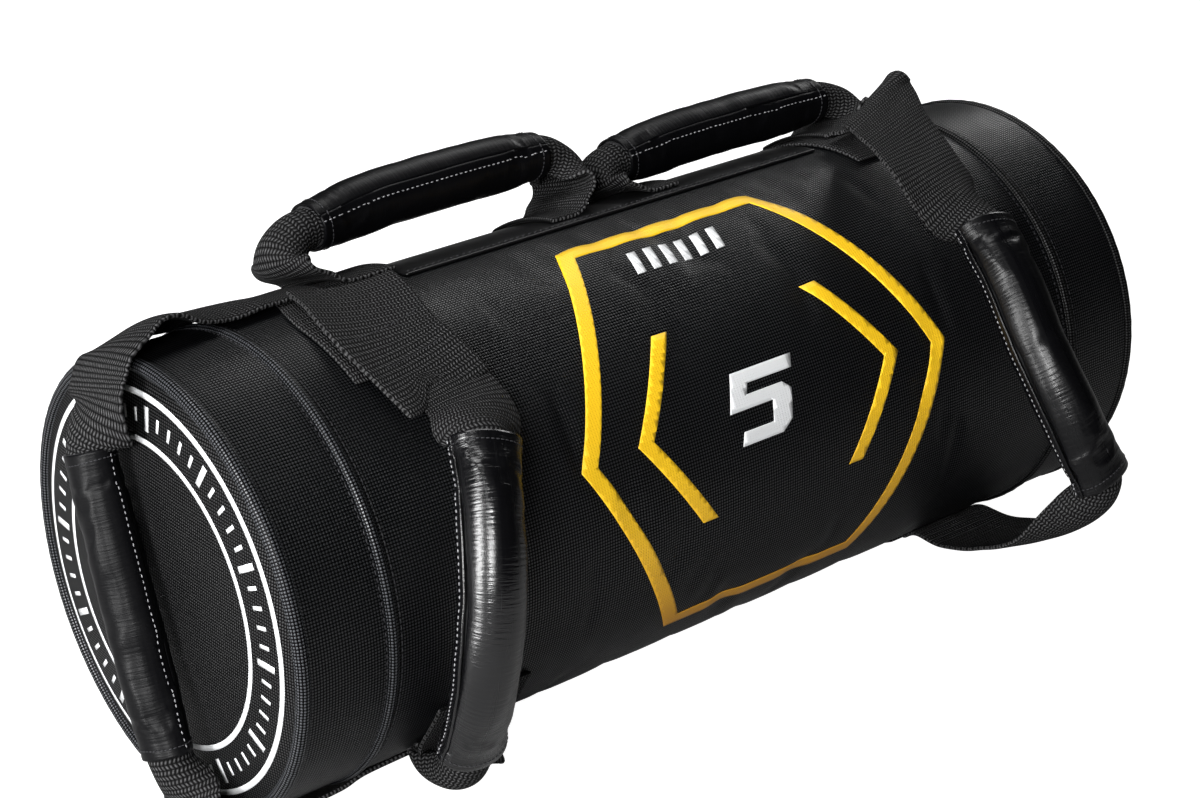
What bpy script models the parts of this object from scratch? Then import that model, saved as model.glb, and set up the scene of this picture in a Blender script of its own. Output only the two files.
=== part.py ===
"""A sandbag trainer: a round filled bag that lies on its side, with six sewn webbing handles.

The bag's axis runs along X, and its front, where the print is, faces -Y. The bag has rolled back a little, so
the handles along its spine lean away from the front. The origin is on the floor, under the bag's axis, at
mid-length. An angle round the bag is counted in degrees from its front level, upwards and over the top.
"""

import math

import bmesh
import bpy
from mathutils import Vector

# The bag
bag_radius = 0.102
bag_length = 0.503
canvas_thickness = 0.0014
seam_gap = 0.0003
floor_flat_depth = 0.0035
round_sides = 48
filling_sides = 24
piping_sides = 6

# The two end caps
cap_depth = 0.0475
welt_width = 0.0044
welt_height = 0.0022
welt_allowance = 0.0026
piping_radius = 0.0026
disc_thickness = 0.0022
disc_crown = 0.0042
disc_crown_shares = ((0, 1), (0.3, 0.92), (0.56, 0.7), (0.78, 0.4), (0.92, 0.12), (1, 0))

# The webbing that goes round the bag, and the panel along its spine
webbing_thickness = 0.0022
band_width = 0.058
left_band_inset = 0.1095
right_band_inset = 0.0855
left_band_upper_angle = 52.5
right_band_upper_angle = 67.5
patch_upper_angle = 97.5
left_band_lower_angle = -52.5
right_band_lower_angle = -60.0
spine_angle = 113.0
spine_width = 0.060
spine_thickness = 0.0015

# The webbing of the handles: full width where it is sewn, rolled up where it runs through a grip
strap_width = 0.050
rolled_width = 0.016
rolled_thickness = 0.006
strap_columns = 4

# The grips: a leather sleeve round a foam core
sleeve_thickness = 0.0012
grip_sides = 12
side_grip_radius = 0.0140
side_grip_end_radius = 0.0122
top_grip_radius = 0.0135
top_grip_end_radius = 0.0115
end_grip_radius = 0.0115
end_grip_end_radius = 0.0110

# The two handles along the spine: where each foot and each grip end lies along the bag
left_top_foot_reach = 0.024
left_top_grip_inset = 0.005
left_top_grip_to = -0.009
left_top_grip_rise = 0.0285
left_top_turn_out = 0.029
right_top_grip_from = 0.036
right_top_grip_inset = 0.0
right_top_grip_rise = 0.0170
right_top_turn_out = 0.022
middle_foot_reach = 0.017
middle_turn_out = 0.0185

# The two handles across the front
left_side_lean = -0.036
left_side_rise = 0.0250
right_side_lean = -0.019
right_side_rise = 0.0590
right_side_hump = 0.0205

# The handle over the left end's rim
end_grip_half_length = 0.066
end_grip_stand_off = 0.0150
end_grip_tilt = 0.0035
end_turn_out = 0.0200
end_turn_rise = 0.0190
end_strap_hump = 0.0050
end_foot_reach = 0.017
rolled_width_share = 0.2
end_rise_shares = (0.7, 0.5)
last_row_share = 0.4

# The handle on the right end's disc. Its rows are shares: of the disc's radius, of the stand-off, of the width.
disc_grip_stand_off = 0.0185
disc_grip_share = 0.56
disc_strap_shares = (
    (0.905, 0, 1),
    (0.85, 0, 1),
    (0.79, 0.03, 1),
    (0.735, 0.22, 0.9),
    (0.68, 0.58, 0.6),
    (0.62, 0.90, 0.3),
)

# The filling
sand_radius = 0.052
sand_corner_share = 1 / 6
pouch_end_clearance = 0.0110
pouch_thickness = 0.0009
pouch_neck_radius = 0.009
pouch_neck_length = 0.020
pouch_shoulder_length = 0.017
neck_end_clearance = 0.0142
tie_thickness = 0.002
tie_width = 0.005
inner_foam_thickness = 0.0215
foam_end_clearance = 0.0006

# What follows from these sizes
axis_height = bag_radius - floor_flat_depth
webbing_level = webbing_thickness + 2 * seam_gap
flat_depth = floor_flat_depth + webbing_level
half_length = bag_length / 2
barrel_half_length = half_length - cap_depth
piping_ring_radius = bag_radius + piping_radius / 4 - piping_radius
disc_radius = piping_ring_radius - piping_radius - seam_gap
disc_edge_x = half_length - piping_radius / 2
left_band_x = left_band_inset - half_length
right_band_x = half_length - right_band_inset
left_top_grip_from = left_band_x + left_top_grip_inset
right_top_grip_to = right_band_x - right_top_grip_inset
turn_step = 360 / round_sides
bag_seat = bag_radius + seam_gap
band_seat = bag_seat + webbing_thickness + seam_gap
spine_top_radius = bag_seat + spine_thickness
spine_seat = spine_top_radius + seam_gap
welt_seat = bag_radius + welt_height + seam_gap
route_steps = 2


def radial(angle):
    """The direction straight out from the bag's axis at an angle round it."""
    turn = math.radians(angle)
    return Vector((0, -math.cos(turn), math.sin(turn)))


def tangent(angle):
    """The direction round the bag, towards larger angles."""
    turn = math.radians(angle)
    return Vector((0, math.sin(turn), math.cos(turn)))


def at(x, angle, radius):
    """The point at a place along the bag, an angle round it and a distance from its axis."""
    return Vector((x, 0, axis_height)) + radial(angle) * radius


def settled_level(radius):
    """How low the filled bag's surface of this radius reaches where the floor has pressed it flat."""
    level = axis_height - radius + flat_depth * min(1, radius / bag_radius)
    return max(level, webbing_level) if radius >= bag_radius else level


def material(name, colour, roughness, metallic=0.0):
    made = bpy.data.materials.new(name)
    made.use_nodes = True
    shader = made.node_tree.nodes["Principled BSDF"]
    shader.inputs["Base Color"].default_value = (*colour, 1)
    shader.inputs["Roughness"].default_value = roughness
    shader.inputs["Metallic"].default_value = metallic
    made.diffuse_color = (*colour, 1)
    return made


def new_object(name, shape, finish):
    """Turns a bmesh into a named object with outward faces and smooth shading between its sharp edges."""
    bmesh.ops.recalc_face_normals(shape, faces=shape.faces)
    mesh = bpy.data.meshes.new(name)
    shape.to_mesh(mesh)
    shape.free()
    mesh.shade_smooth()
    mesh.set_sharp_from_angle(angle=math.radians(40))
    mesh.materials.append(finish)
    made = bpy.data.objects.new(name, mesh)
    bpy.context.scene.collection.objects.link(made)
    return made


def loft(name, rings, finish, joined=False):
    """Skins a row of rings that have the same number of points. A joined row closes on itself."""
    shape = bmesh.new()
    rows = [[shape.verts.new(point) for point in ring] for ring in rings]
    pairs = list(zip(rows, rows[1:]))
    if joined:
        pairs.append((rows[-1], rows[0]))
    else:
        shape.faces.new(rows[0])
        shape.faces.new(rows[-1])
    for low, high in pairs:
        for k in range(len(low)):
            after = (k + 1) % len(low)
            shape.faces.new((low[k], low[after], high[after], high[k]))
    return new_object(name, shape, finish)


def turned(name, profile, finish, sides=round_sides):
    """Turns a profile of (x, radius) points about the bag's axis. One that starts on the axis also ends on it."""
    solid = profile[0][1] == 0
    shape = bmesh.new()
    rows = []
    for x, radius in profile:
        if radius == 0:
            rows.append([shape.verts.new(at(x, 0, 0))] * sides)
            continue
        row = []
        for k in range(sides):
            point = at(x, 360 * k / sides, radius)
            point.z = max(point.z, settled_level(radius))
            row.append(shape.verts.new(point))
        rows.append(row)
    pairs = list(zip(rows, rows[1:])) if solid else list(zip(rows, rows[1:] + rows[:1]))
    for low, high in pairs:
        for k in range(sides):
            after = (k + 1) % sides
            corners = dict.fromkeys((low[k], low[after], high[after], high[k]))
            shape.faces.new(tuple(corners))
    return new_object(name, shape, finish)


def tube(name, x_from, x_to, inner, outer, finish, sides=round_sides):
    return turned(name, [(x_from, inner), (x_from, outer), (x_to, outer), (x_to, inner)], finish, sides)


def band(name, middle, angle_from, angle_to, seat, finish):
    """A length of webbing round the bag, between two angles, with its underside at the seat's radius."""
    steps = round((angle_to - angle_from) / turn_step)
    rings = []
    for k in range(steps + 1):
        angle = angle_from + k * (angle_to - angle_from) / steps
        ring = []
        for side, layer in ((-1, -1), (1, -1), (1, 1), (-1, 1)):
            point = at(middle + side * band_width / 2, angle, seat + (webbing_thickness if layer > 0 else 0))
            point.z = max(point.z, seam_gap if layer > 0 else seam_gap + webbing_thickness)
            ring.append(point)
        rings.append(ring)
    return loft(name, rings, finish)


def barrel(finish):
    """The canvas tube. Its outside steps in at the floor beyond the middle, where webbing runs under it."""
    end = barrel_half_length + seam_gap
    inner = bag_radius - canvas_thickness
    inner_edges = (left_band_x + band_width / 2 + seam_gap, right_band_x - band_width / 2 - seam_gap)
    places = [(-end, webbing_level)]
    places.append((inner_edges[0], webbing_level))
    places.append((inner_edges[0] + webbing_level, 0))
    places.append((inner_edges[1] - webbing_level, 0))
    places.append((inner_edges[1], webbing_level))
    places.append((end, webbing_level))
    rings = []
    for x, level in places:
        ring = [at(x, k * turn_step, bag_radius) for k in range(round_sides)]
        for point in ring:
            point.z = max(point.z, level)
        rings.append(ring)
    for x in (end, -end):
        ring = [at(x, k * turn_step, inner) for k in range(round_sides)]
        for point in ring:
            point.z = max(point.z, settled_level(inner))
        rings.append(ring)
    return loft("barrel_shell", rings, finish, joined=True)


def end_cap(side, label):
    """The welt where a cap joins the barrel, the cap's wall, its piped rim and its disc."""
    welt_from = barrel_half_length + 2 * seam_gap
    welt_to = welt_from + welt_width
    welt_inner = bag_radius - welt_allowance
    shoulder = welt_width / 4
    turned(
        f"{label}_cap_welt",
        [
            (side * welt_from, welt_inner),
            (side * welt_from, bag_radius + welt_height / 2),
            (side * (welt_from + shoulder), bag_radius + welt_height),
            (side * (welt_to - shoulder), bag_radius + welt_height),
            (side * welt_to, bag_radius + welt_height / 2),
            (side * welt_to, welt_inner),
        ],
        piping_finish,
    )
    piping_x = half_length - piping_radius
    wall_to = piping_x - piping_radius - seam_gap
    wall_inner = bag_radius - canvas_thickness
    tube(f"{label}_cap_wall", side * (welt_to + seam_gap), side * wall_to, wall_inner, bag_radius, canvas_finish)
    corners = []
    for k in range(piping_sides):
        turn = math.radians(360 * k / piping_sides)
        corners.append((
            side * (piping_x + piping_radius * math.cos(turn)),
            piping_ring_radius + piping_radius * math.sin(turn),
        ))
    turned(f"{label}_rim_piping", corners, piping_finish)
    edge = side * disc_edge_x
    back = side * (disc_edge_x - disc_thickness)
    outside = [(edge + side * disc_crown * rise, disc_radius * reach) for reach, rise in disc_crown_shares]
    inside = [(back, disc_radius), (back, 0)]
    turned(f"{label}_end_disc", outside + inside, disc_finish)
    pad_to = disc_edge_x - disc_thickness - seam_gap
    pad_radius = wall_inner - welt_allowance - seam_gap
    pad_from = barrel_half_length + 2 * seam_gap
    turned(
        f"{label}_end_pad",
        [(side * pad_from, 0), (side * pad_from, pad_radius), (side * pad_to, disc_radius), (side * pad_to, 0)],
        foam_finish,
    )


def filling():
    """The sand in its sewn pouch with a tied neck, and the two foam wraps that hold it round in the bag."""
    sand_from = pouch_end_clearance - barrel_half_length
    neck_to = barrel_half_length - neck_end_clearance
    neck_from = neck_to - pouch_neck_length
    sand_to = neck_from - pouch_shoulder_length - seam_gap
    sand_corner = sand_radius * sand_corner_share
    turned(
        "sand_fill",
        [
            (sand_from, 0),
            (sand_from, sand_radius - sand_corner),
            (sand_from + sand_corner, sand_radius),
            (sand_to - sand_corner, sand_radius),
            (sand_to, sand_radius - sand_corner),
            (sand_to, 0),
        ],
        sand_finish,
        filling_sides,
    )
    inside = sand_radius + seam_gap
    outside = inside + pouch_thickness
    start = sand_from - seam_gap
    neck_inner = pouch_neck_radius - pouch_thickness
    turned(
        "sand_pouch",
        [
            (start - pouch_thickness, 0),
            (start - pouch_thickness, outside),
            (sand_to + seam_gap, outside),
            (neck_from, pouch_neck_radius),
            (neck_to, pouch_neck_radius),
            (neck_to, neck_inner),
            (neck_from - pouch_thickness, neck_inner),
            (sand_to + seam_gap, inside),
            (start, inside),
            (start, 0),
        ],
        pouch_finish,
        filling_sides,
    )
    tie_from = neck_from + (pouch_neck_length - tie_width) / 2
    tie_inner = pouch_neck_radius + seam_gap
    tie_outer = tie_inner + tie_thickness
    tube("pouch_tie", tie_from, tie_from + tie_width, tie_inner, tie_outer, tie_finish, filling_sides)
    foam_end = barrel_half_length - foam_end_clearance
    inner_from = outside + seam_gap
    inner_to = inner_from + inner_foam_thickness
    outer_to = bag_radius - canvas_thickness - seam_gap
    tube("foam_wrap_inner", -foam_end, foam_end, inner_from, inner_to, foam_finish, filling_sides)
    tube("foam_wrap_outer", -foam_end, foam_end, inner_to + seam_gap, outer_to, foam_finish)


def spine_panel(finish):
    """The smooth panel that covers the barrel's lengthwise seam, between the two bands."""
    columns = 8
    half_angle = math.degrees(spine_width / 2 / bag_radius)
    inner = bag_radius + seam_gap
    ends = (left_band_x + band_width / 2 + seam_gap, right_band_x - band_width / 2 - seam_gap)
    rings = []
    for x in ends:
        angles = [spine_angle + half_angle * (2 * k / columns - 1) for k in range(columns + 1)]
        ring = [at(x, angle, spine_top_radius) for angle in angles]
        ring += [at(x, angle, inner) for angle in reversed(angles)]
        rings.append(ring)
    return loft("spine_panel", rings, finish)


def strap_thickness(width_share):
    return rolled_thickness + (webbing_thickness - rolled_thickness) * min(1, max(0, width_share))


def on_seat(x, angle, seat, rise, width_share, wrap_share=0):
    """A row of a strap's route: its underside stands a rise above the seat's radius."""
    return (at(x, angle, seat + rise + strap_thickness(width_share) / 2), width_share, wrap_share)


def kept_on_seat(station, seat):
    """Lifts a station that the smooth curve has dipped below its seat, where it lies over the bag."""
    out = Vector((0, station[1], station[2] - axis_height))
    least = seat + strap_thickness(station[3]) / 2
    if abs(station[0]) < half_length and out.length < least:
        out = out.normalized() * least
        station[1] = out.y
        station[2] = out.z + axis_height


def smooth_route(rows):
    """Reads a smooth curve through a route's rows, each of a point, a width share and a wrap share."""
    values = [Vector((*point, width, wrap)) for point, width, wrap in rows]
    ends = [2 * values[0] - values[1]] + values + [2 * values[-1] - values[-2]]
    found = []
    for before, here, there, after in zip(ends, ends[1:], ends[2:], ends[3:]):
        for k in range(route_steps):
            t = k / route_steps
            bend = 2 * before - 5 * here + 4 * there - after
            twist = 3 * here - 3 * there + after - before
            found.append(here + ((there - before) * t + bend * t * t + twist * t * t * t) / 2)
    found.append(values[-1])
    return found


def frames(stations, across):
    """For each station: its middle, and the directions across the strap and through its thickness.

    The rolled strap's section turns square to its route, and the flat strap's width keeps its direction.
    """
    middles = [Vector(station[:3]) for station in stations]
    found = []
    for k, middle in enumerate(middles):
        along = (middles[min(k + 1, len(middles) - 1)] - middles[max(k - 1, 0)]).normalized()
        turned_share = 1 - min(1, max(0, stations[k][3]))
        side = (across - along * (across.dot(along) * turned_share)).normalized()
        found.append((middle, side, side.cross(along).normalized()))
    return found


def strap_ring(frame, width_share, wrap_share):
    """One cross-section of a strap: flat, curved round the bag where it lies on it, or rolled up in a grip."""
    middle, side, through = frame
    share = min(1, max(0, width_share))
    width = rolled_width + (strap_width - rolled_width) * share
    thickness = strap_thickness(share)
    out = Vector((0, middle.y, middle.z - axis_height))
    radius = out.length
    out.normalize()
    faces = ([], [])
    for k in range(strap_columns + 1):
        offset = width * (k / strap_columns - 0.5)
        drop = 0
        if wrap_share > 0:
            drop = min(1, wrap_share) * (radius - math.sqrt(radius * radius - offset * offset))
        for face, layer in zip(faces, (1, -1)):
            point = middle + side * offset - out * drop + through * (layer * thickness / 2)
            outer = through.dot(out) * layer > 0
            point.z = max(point.z, seam_gap if outer else seam_gap + webbing_thickness)
            face.append(point)
    return faces[0] + faces[1][::-1]


def grip_ring(frame, radius):
    middle, side, through = frame
    ring = []
    for k in range(grip_sides):
        turn = math.radians(360 * k / grip_sides)
        ring.append(middle + side * (radius * math.cos(turn)) + through * (radius * math.sin(turn)))
    return ring


def slot_ring(frame):
    """The slot through a grip's core, which the rolled strap fits, with as many points as the core's outside."""
    middle, side, through = frame
    half_width = rolled_width / 2 + seam_gap
    half_height = rolled_thickness / 2 + seam_gap
    top_shares = ((1, 0), (1, 1), (0.5, 1), (0, 1), (-0.5, 1), (-1, 1))
    around = top_shares + tuple((-a, -b) for a, b in top_shares)
    return [middle + side * (half_width * a) + through * (half_height * b) for a, b in around]


def handle(label, entry, grip, leave, seats, across, grip_radius, grip_end_radius):
    """A handle: its strap from foot to foot, and on its grip's rows a foam core and a leather sleeve."""
    rows = entry + [(point, 0, 0) for point in grip] + leave
    stations = smooth_route(rows)
    first = len(entry) * route_steps
    last = (len(entry) + len(grip) - 1) * route_steps
    for k, station in enumerate(stations):
        if first <= k <= last:
            station[3] = 0
        else:
            kept_on_seat(station, seats[0] if k < first else seats[1])
    found = frames(stations, across)
    rings = [strap_ring(frame, station[3], station[4]) for frame, station in zip(found, stations)]
    loft(f"{label}_strap", rings, webbing_finish)
    sleeve_out, sleeve_in, core_out, core_in = [], [], [], []
    for k in range(first, last + 1):
        end_share = (2 * (k - first) / (last - first) - 1) ** 4
        radius = grip_radius + (grip_end_radius - grip_radius) * end_share
        sleeve_out.append(grip_ring(found[k], radius))
        sleeve_in.append(grip_ring(found[k], radius - sleeve_thickness))
        core_out.append(grip_ring(found[k], radius - sleeve_thickness - seam_gap))
        core_in.append(slot_ring(found[k]))
    loft(f"{label}_sleeve", sleeve_out + sleeve_in[::-1], leather_finish, joined=True)
    loft(f"{label}_core", core_out + core_in[::-1], grip_foam_finish, joined=True)


def turn_rows(grip_end, reach, seat, grip_end_radius):
    """The tight turn of a spine handle's strap, from its foot out past the grip's end and back up to it."""
    turn_shares = ((0.30, 0.14), (0.76, 0.26), (1, 0.5), (0.86, 0.76), (0.42, 0.95))
    width_shares = (0.95, 0.85, 0.6, 0.35, 0.15)
    wrap_shares = (0.7, 0.35, 0.1, 0, 0)
    rows = []
    for (out, rise), width, wrap in zip(turn_shares, width_shares, wrap_shares):
        start = seat + strap_thickness(width) / 2
        radius = start + (grip_end_radius - start) * rise
        rows.append((at(grip_end + reach * out, spine_angle, radius), width, wrap))
    return rows


def foot_rows(tip, bend, seat):
    """The sewn foot of a strap: flat on the bag from its tip to where it lifts off."""
    return [on_seat(x, spine_angle, seat, 0, 1, 1) for x in (tip, bend)]


def top_handle(label, grip_from, grip_to, rise, feet, turns, seats):
    """A handle along the spine. Its strap doubles back under its own grip at both ends."""
    grip_shares = ((0, 0.86), (0.26, 0.97), (0.55, 1), (0.8, 1), (1, 0.98))
    middle_seat = max(seats)
    radii = [middle_seat + rise * v for u, v in grip_shares]
    grip = [at(grip_from + (grip_to - grip_from) * u, spine_angle, r) for (u, v), r in zip(grip_shares, radii)]
    entry = foot_rows(grip_from + feet[0], grip_from, seats[0])
    entry += turn_rows(grip_from, -turns[0], seats[0], radii[0])
    leave = foot_rows(grip_to - feet[1], grip_to, seats[1])
    leave += turn_rows(grip_to, turns[1], seats[1], radii[-1])
    across = tangent(spine_angle)
    handle(label, entry, grip, leave[::-1], seats, across, top_grip_radius, top_grip_end_radius)


def side_rows(band_x, lean, seat, rise, route_shares):
    """Rows of a front handle's strap, from shares: lean along the bag, angle, rise off the seat, width."""
    return [on_seat(band_x + lean * a, angle, seat, rise * b, width) for a, angle, b, width in route_shares]


def side_grip_points(band_x, lean, rise, route_shares):
    return [at(band_x + lean * a, angle, bag_radius + rise * b) for a, angle, b in route_shares]


def side_handles():
    """The two handles across the front. The left one has flopped to the left, the right one stands off."""
    cut = math.degrees(seam_gap / band_seat)
    entry_shares = (
        (0, left_band_upper_angle - cut, 0, 1),
        (0, 50.8, 0, 1),
        (0, 48.8, 0.06, 1),
        (0.1, 45.3, 0.28, 0.7),
        (0.18, 42, 0.46, 0.3),
    )
    grip_shares = ((0.29, 38, 0.76), (0.64, 25, 0.98), (0.88, 11, 1.06), (1, -6, 0.98), (0.83, -28, 0.80))
    leave_shares = (
        (0.78, -36, 0.72, 0.15),
        (0.68, -43, 0.66, 0.35),
        (0.56, -47.5, 0.44, 0.55),
        (0.44, -47.5, 0.22, 0.7),
        (0.36, -43.5, 0.06, 0.75),
        (0.32, -38, 0, 0.75),
        (0.32, -25, 0, 0.75),
    )
    entry = side_rows(left_band_x, left_side_lean, band_seat, left_side_rise, entry_shares)
    grip = side_grip_points(left_band_x, left_side_lean, left_side_rise, grip_shares)
    leave = side_rows(left_band_x, left_side_lean, bag_seat, left_side_rise, leave_shares)
    seats = (band_seat, bag_seat)
    across = Vector((1, 0, 0))
    handle("left_side_handle", entry, grip, leave, seats, across, side_grip_radius, side_grip_end_radius)

    entry_shares = (
        (0, patch_upper_angle, 0, 1),
        (0, 94, 0.06, 1),
        (-0.1, 88.5, 0.6, 1),
        (-0.1, 80, 0.98, 1),
        (0, 70, 0.88, 1),
        (0.1, 61, 0.68, 0.9),
        (0.25, 53.5, 0.58, 0.45),
    )
    grip_shares = ((0.45, 46, 0.28), (0.82, 31, 0.41), (1, 18, 0.56), (0.78, 4, 0.8), (0.2, -7, 1.02))
    leave_shares = (
        (0.05, -12, 1, 0.25),
        (0, -20, 0.87, 0.6),
        (0, -29, 0.62, 0.9),
        (0, -39, 0.33, 1),
        (0, -48, 0.12, 1),
        (0, -54, 0.02, 1),
        (0, right_band_lower_angle + cut, 0, 1),
    )
    entry = side_rows(right_band_x, right_side_lean, band_seat, right_side_hump, entry_shares)
    grip = side_grip_points(right_band_x, right_side_lean, right_side_rise, grip_shares)
    leave = side_rows(right_band_x, right_side_lean, bag_seat, right_side_rise, leave_shares)
    handle("right_side_handle", entry, grip, leave, seats, across, side_grip_radius, side_grip_end_radius)


def rim_handle(side, label, band_x):
    """A handle across an end, in the spine's plane: over the rim from the bag's top side to its underside."""
    edge = side * (abs(band_x) + band_width / 2 + seam_gap)
    rim = side * half_length
    welt_radius = welt_seat + webbing_thickness / 2
    stand_off = side * end_grip_stand_off
    turn_out = side * end_turn_out
    welt_from = barrel_half_length + 2 * seam_gap
    welt_clear = webbing_thickness
    rolled = rolled_width_share

    def row(x, radius, width, wrap):
        return (at(x, spine_angle, radius), width, wrap)

    wall = rim - edge
    hump_shares = ((0.25, 0.9), (0.42, 1), (0.62, 0.7), (0.8, 0.3))
    entry = [on_seat(edge - side * end_foot_reach, spine_angle, band_seat, 0, 1, 1)]
    entry.append(on_seat(edge, spine_angle, band_seat, 0, 1, 1))
    for along, rise in hump_shares:
        entry.append(row(edge + wall * along, welt_radius + end_strap_hump * rise, 1, 1 - along / 2))
    corner_shares = ((0, 0.05, 1, 0.4), (0.55, -0.1, 0.95, 0.2), (0.98, -0.48, 0.8, 0), (1.08, -1, 0.5, 0))
    for out, rise, width, wrap in corner_shares:
        entry.append(row(rim + turn_out * out, welt_radius + end_turn_rise * rise, width, wrap))
    entry.append(row(rim + stand_off, end_grip_half_length + end_turn_rise * end_rise_shares[0], rolled, 0))
    grip = []
    for share in (1, 0.5, 0, -0.5, -1):
        lean = side * end_grip_tilt * (1 - share) / 2
        grip.append(at(rim + stand_off + lean, spine_angle, end_grip_half_length * share))
    leave = [row(rim + turn_out, -end_grip_half_length - end_turn_rise * end_rise_shares[1], rolled, 0)]
    for out, rise, width, wrap in corner_shares[::-1]:
        leave.append(row(rim + turn_out * out, -welt_radius - end_turn_rise * rise, width, wrap))
    for x in (welt_from + welt_width + welt_clear, welt_from - welt_clear):
        leave.append(row(side * x, -welt_radius - seam_gap, 1, 1))
    lower = bag_seat + webbing_thickness / 2
    leave.append(row(edge + side * (welt_from - welt_clear - abs(edge)) * last_row_share, -lower, 1, 1))
    leave.append(row(edge, -lower, 1, 1))
    seats = (band_seat, bag_seat)
    across = tangent(spine_angle)
    handle(f"{label}_end_handle", entry, grip, leave, seats, across, end_grip_radius, end_grip_end_radius)


def disc_level(reach):
    """How far the disc's outside stands out of its edge's plane, at a share of its radius."""
    for (near, high), (far, low) in zip(disc_crown_shares, disc_crown_shares[1:]):
        if reach <= far:
            return disc_crown * (high + (low - high) * (reach - near) / (far - near))
    return 0


def disc_handle(side, label):
    """A handle on an end's disc, in the spine's plane. Its two feet are sewn flat on the disc."""
    grip_x = half_length + disc_grip_stand_off
    entry = []
    for reach, rise, width in disc_strap_shares:
        flat_x = disc_edge_x + disc_level(reach) + seam_gap + strap_thickness(width) / 2
        x = flat_x + (grip_x - flat_x) * rise
        entry.append((x, disc_radius * reach, width))
    grip_end = disc_radius * disc_grip_share
    grip = [at(side * grip_x, spine_angle, grip_end * share) for share in (1, 0.5, 0, -0.5, -1)]
    start = [(at(side * x, spine_angle, radius), width, 0) for x, radius, width in entry]
    leave = [(at(side * x, spine_angle, -radius), width, 0) for x, radius, width in reversed(entry)]
    across = tangent(spine_angle)
    handle(f"{label}_end_handle", start, grip, leave, (0, 0), across, end_grip_radius, end_grip_end_radius)


for old in list(bpy.data.objects):
    bpy.data.objects.remove(old)

canvas_finish = material("pvc_canvas", (0.012, 0.013, 0.016), 0.42)
disc_finish = material("end_canvas", (0.010, 0.011, 0.013), 0.46)
piping_finish = material("piping_vinyl", (0.016, 0.017, 0.020), 0.38)
spine_finish = material("smooth_vinyl", (0.009, 0.009, 0.011), 0.30)
webbing_finish = material("webbing", (0.030, 0.030, 0.032), 0.85)
leather_finish = material("grip_leather", (0.008, 0.008, 0.010), 0.28)
foam_finish = material("foam", (0.32, 0.33, 0.35), 0.90)
grip_foam_finish = material("grip_foam", (0.018, 0.018, 0.020), 0.90)
pouch_finish = material("pouch_nylon", (0.10, 0.13, 0.20), 0.60)
sand_finish = material("sand", (0.56, 0.44, 0.28), 0.95)
tie_finish = material("tie_plastic", (0.85, 0.85, 0.83), 0.45)

barrel(canvas_finish)
for cap_side, cap_label in ((-1, "left"), (1, "right")):
    end_cap(cap_side, cap_label)
filling()
spine_panel(spine_finish)
band("left_band", left_band_x, left_band_upper_angle, 360 + left_band_lower_angle, bag_seat, webbing_finish)
band("right_band", right_band_x, right_band_upper_angle, 360 + right_band_lower_angle, bag_seat, webbing_finish)
band("left_band_patch", left_band_x, left_band_upper_angle, patch_upper_angle, band_seat, webbing_finish)
top_handle(
    "left_top_handle",
    left_top_grip_from,
    left_top_grip_to,
    left_top_grip_rise,
    (left_top_foot_reach, middle_foot_reach),
    (left_top_turn_out, middle_turn_out),
    (band_seat, spine_seat),
)
top_handle(
    "right_top_handle",
    right_top_grip_from,
    right_top_grip_to,
    right_top_grip_rise,
    (middle_foot_reach, middle_foot_reach),
    (middle_turn_out, right_top_turn_out),
    (spine_seat, band_seat),
)
side_handles()
rim_handle(-1, "left", left_band_x)
disc_handle(1, "right")
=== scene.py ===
# %% [markdown]
# # A sandbag trainer
#
# A round bag of coated canvas lies on its side. Sand and foam fill it, and six webbing handles with padded
# leather grips are sewn to it. Nearly all of it is soft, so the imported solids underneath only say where
# things are, and each thing that shows is made here as the cloth, webbing or leather that it is.

import math

import bmesh
import bpy
from mathutils import Matrix, Vector, noise


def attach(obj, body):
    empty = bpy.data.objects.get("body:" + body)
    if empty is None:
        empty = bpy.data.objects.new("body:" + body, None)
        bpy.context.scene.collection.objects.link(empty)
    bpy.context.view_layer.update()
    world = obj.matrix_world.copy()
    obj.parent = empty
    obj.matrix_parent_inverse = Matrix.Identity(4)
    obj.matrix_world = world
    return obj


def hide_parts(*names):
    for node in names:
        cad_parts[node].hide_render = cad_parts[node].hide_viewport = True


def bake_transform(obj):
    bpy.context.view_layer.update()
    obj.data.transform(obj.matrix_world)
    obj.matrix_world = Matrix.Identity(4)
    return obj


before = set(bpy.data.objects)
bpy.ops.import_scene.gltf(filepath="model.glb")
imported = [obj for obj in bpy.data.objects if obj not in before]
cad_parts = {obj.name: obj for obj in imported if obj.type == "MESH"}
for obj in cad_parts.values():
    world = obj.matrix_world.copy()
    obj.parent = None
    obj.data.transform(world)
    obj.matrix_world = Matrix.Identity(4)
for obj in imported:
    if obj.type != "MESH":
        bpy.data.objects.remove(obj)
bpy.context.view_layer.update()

# %% [markdown]
# ## The camera
#
# The picture is taken from the front left and above. A long lens keeps the bag's far end nearly as large as
# the near one. The place and the aim were fitted to the bag's outline, its printed rings and its handles.

# %% Camera
picture_width = 1200
focal_length_in_pixels = 2683
sensor_width = 36
camera_place = Vector((-0.74555, -0.87292, 0.65098))
camera_aim = Vector((0.58236, 0.69261, -0.42561))

bpy.ops.object.camera_add(location=camera_place)
camera = bpy.context.active_object
camera.name = "camera"
camera.rotation_mode = "QUATERNION"
camera.rotation_quaternion = camera_aim.to_track_quat("-Z", "Y")
camera.data.sensor_width = sensor_width
camera.data.lens = sensor_width * focal_length_in_pixels / picture_width
bpy.context.scene.camera = camera
print("lens:", round(camera.data.lens, 2), "mm")

# %% [markdown]
# ## Places on a round bag
#
# Nearly everything lies on or near a cylinder, so a place is said as three things: how far along the bag,
# at what angle round it, and how far from its axis. The angle is counted in degrees from the front level,
# upwards and over the top.

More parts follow.
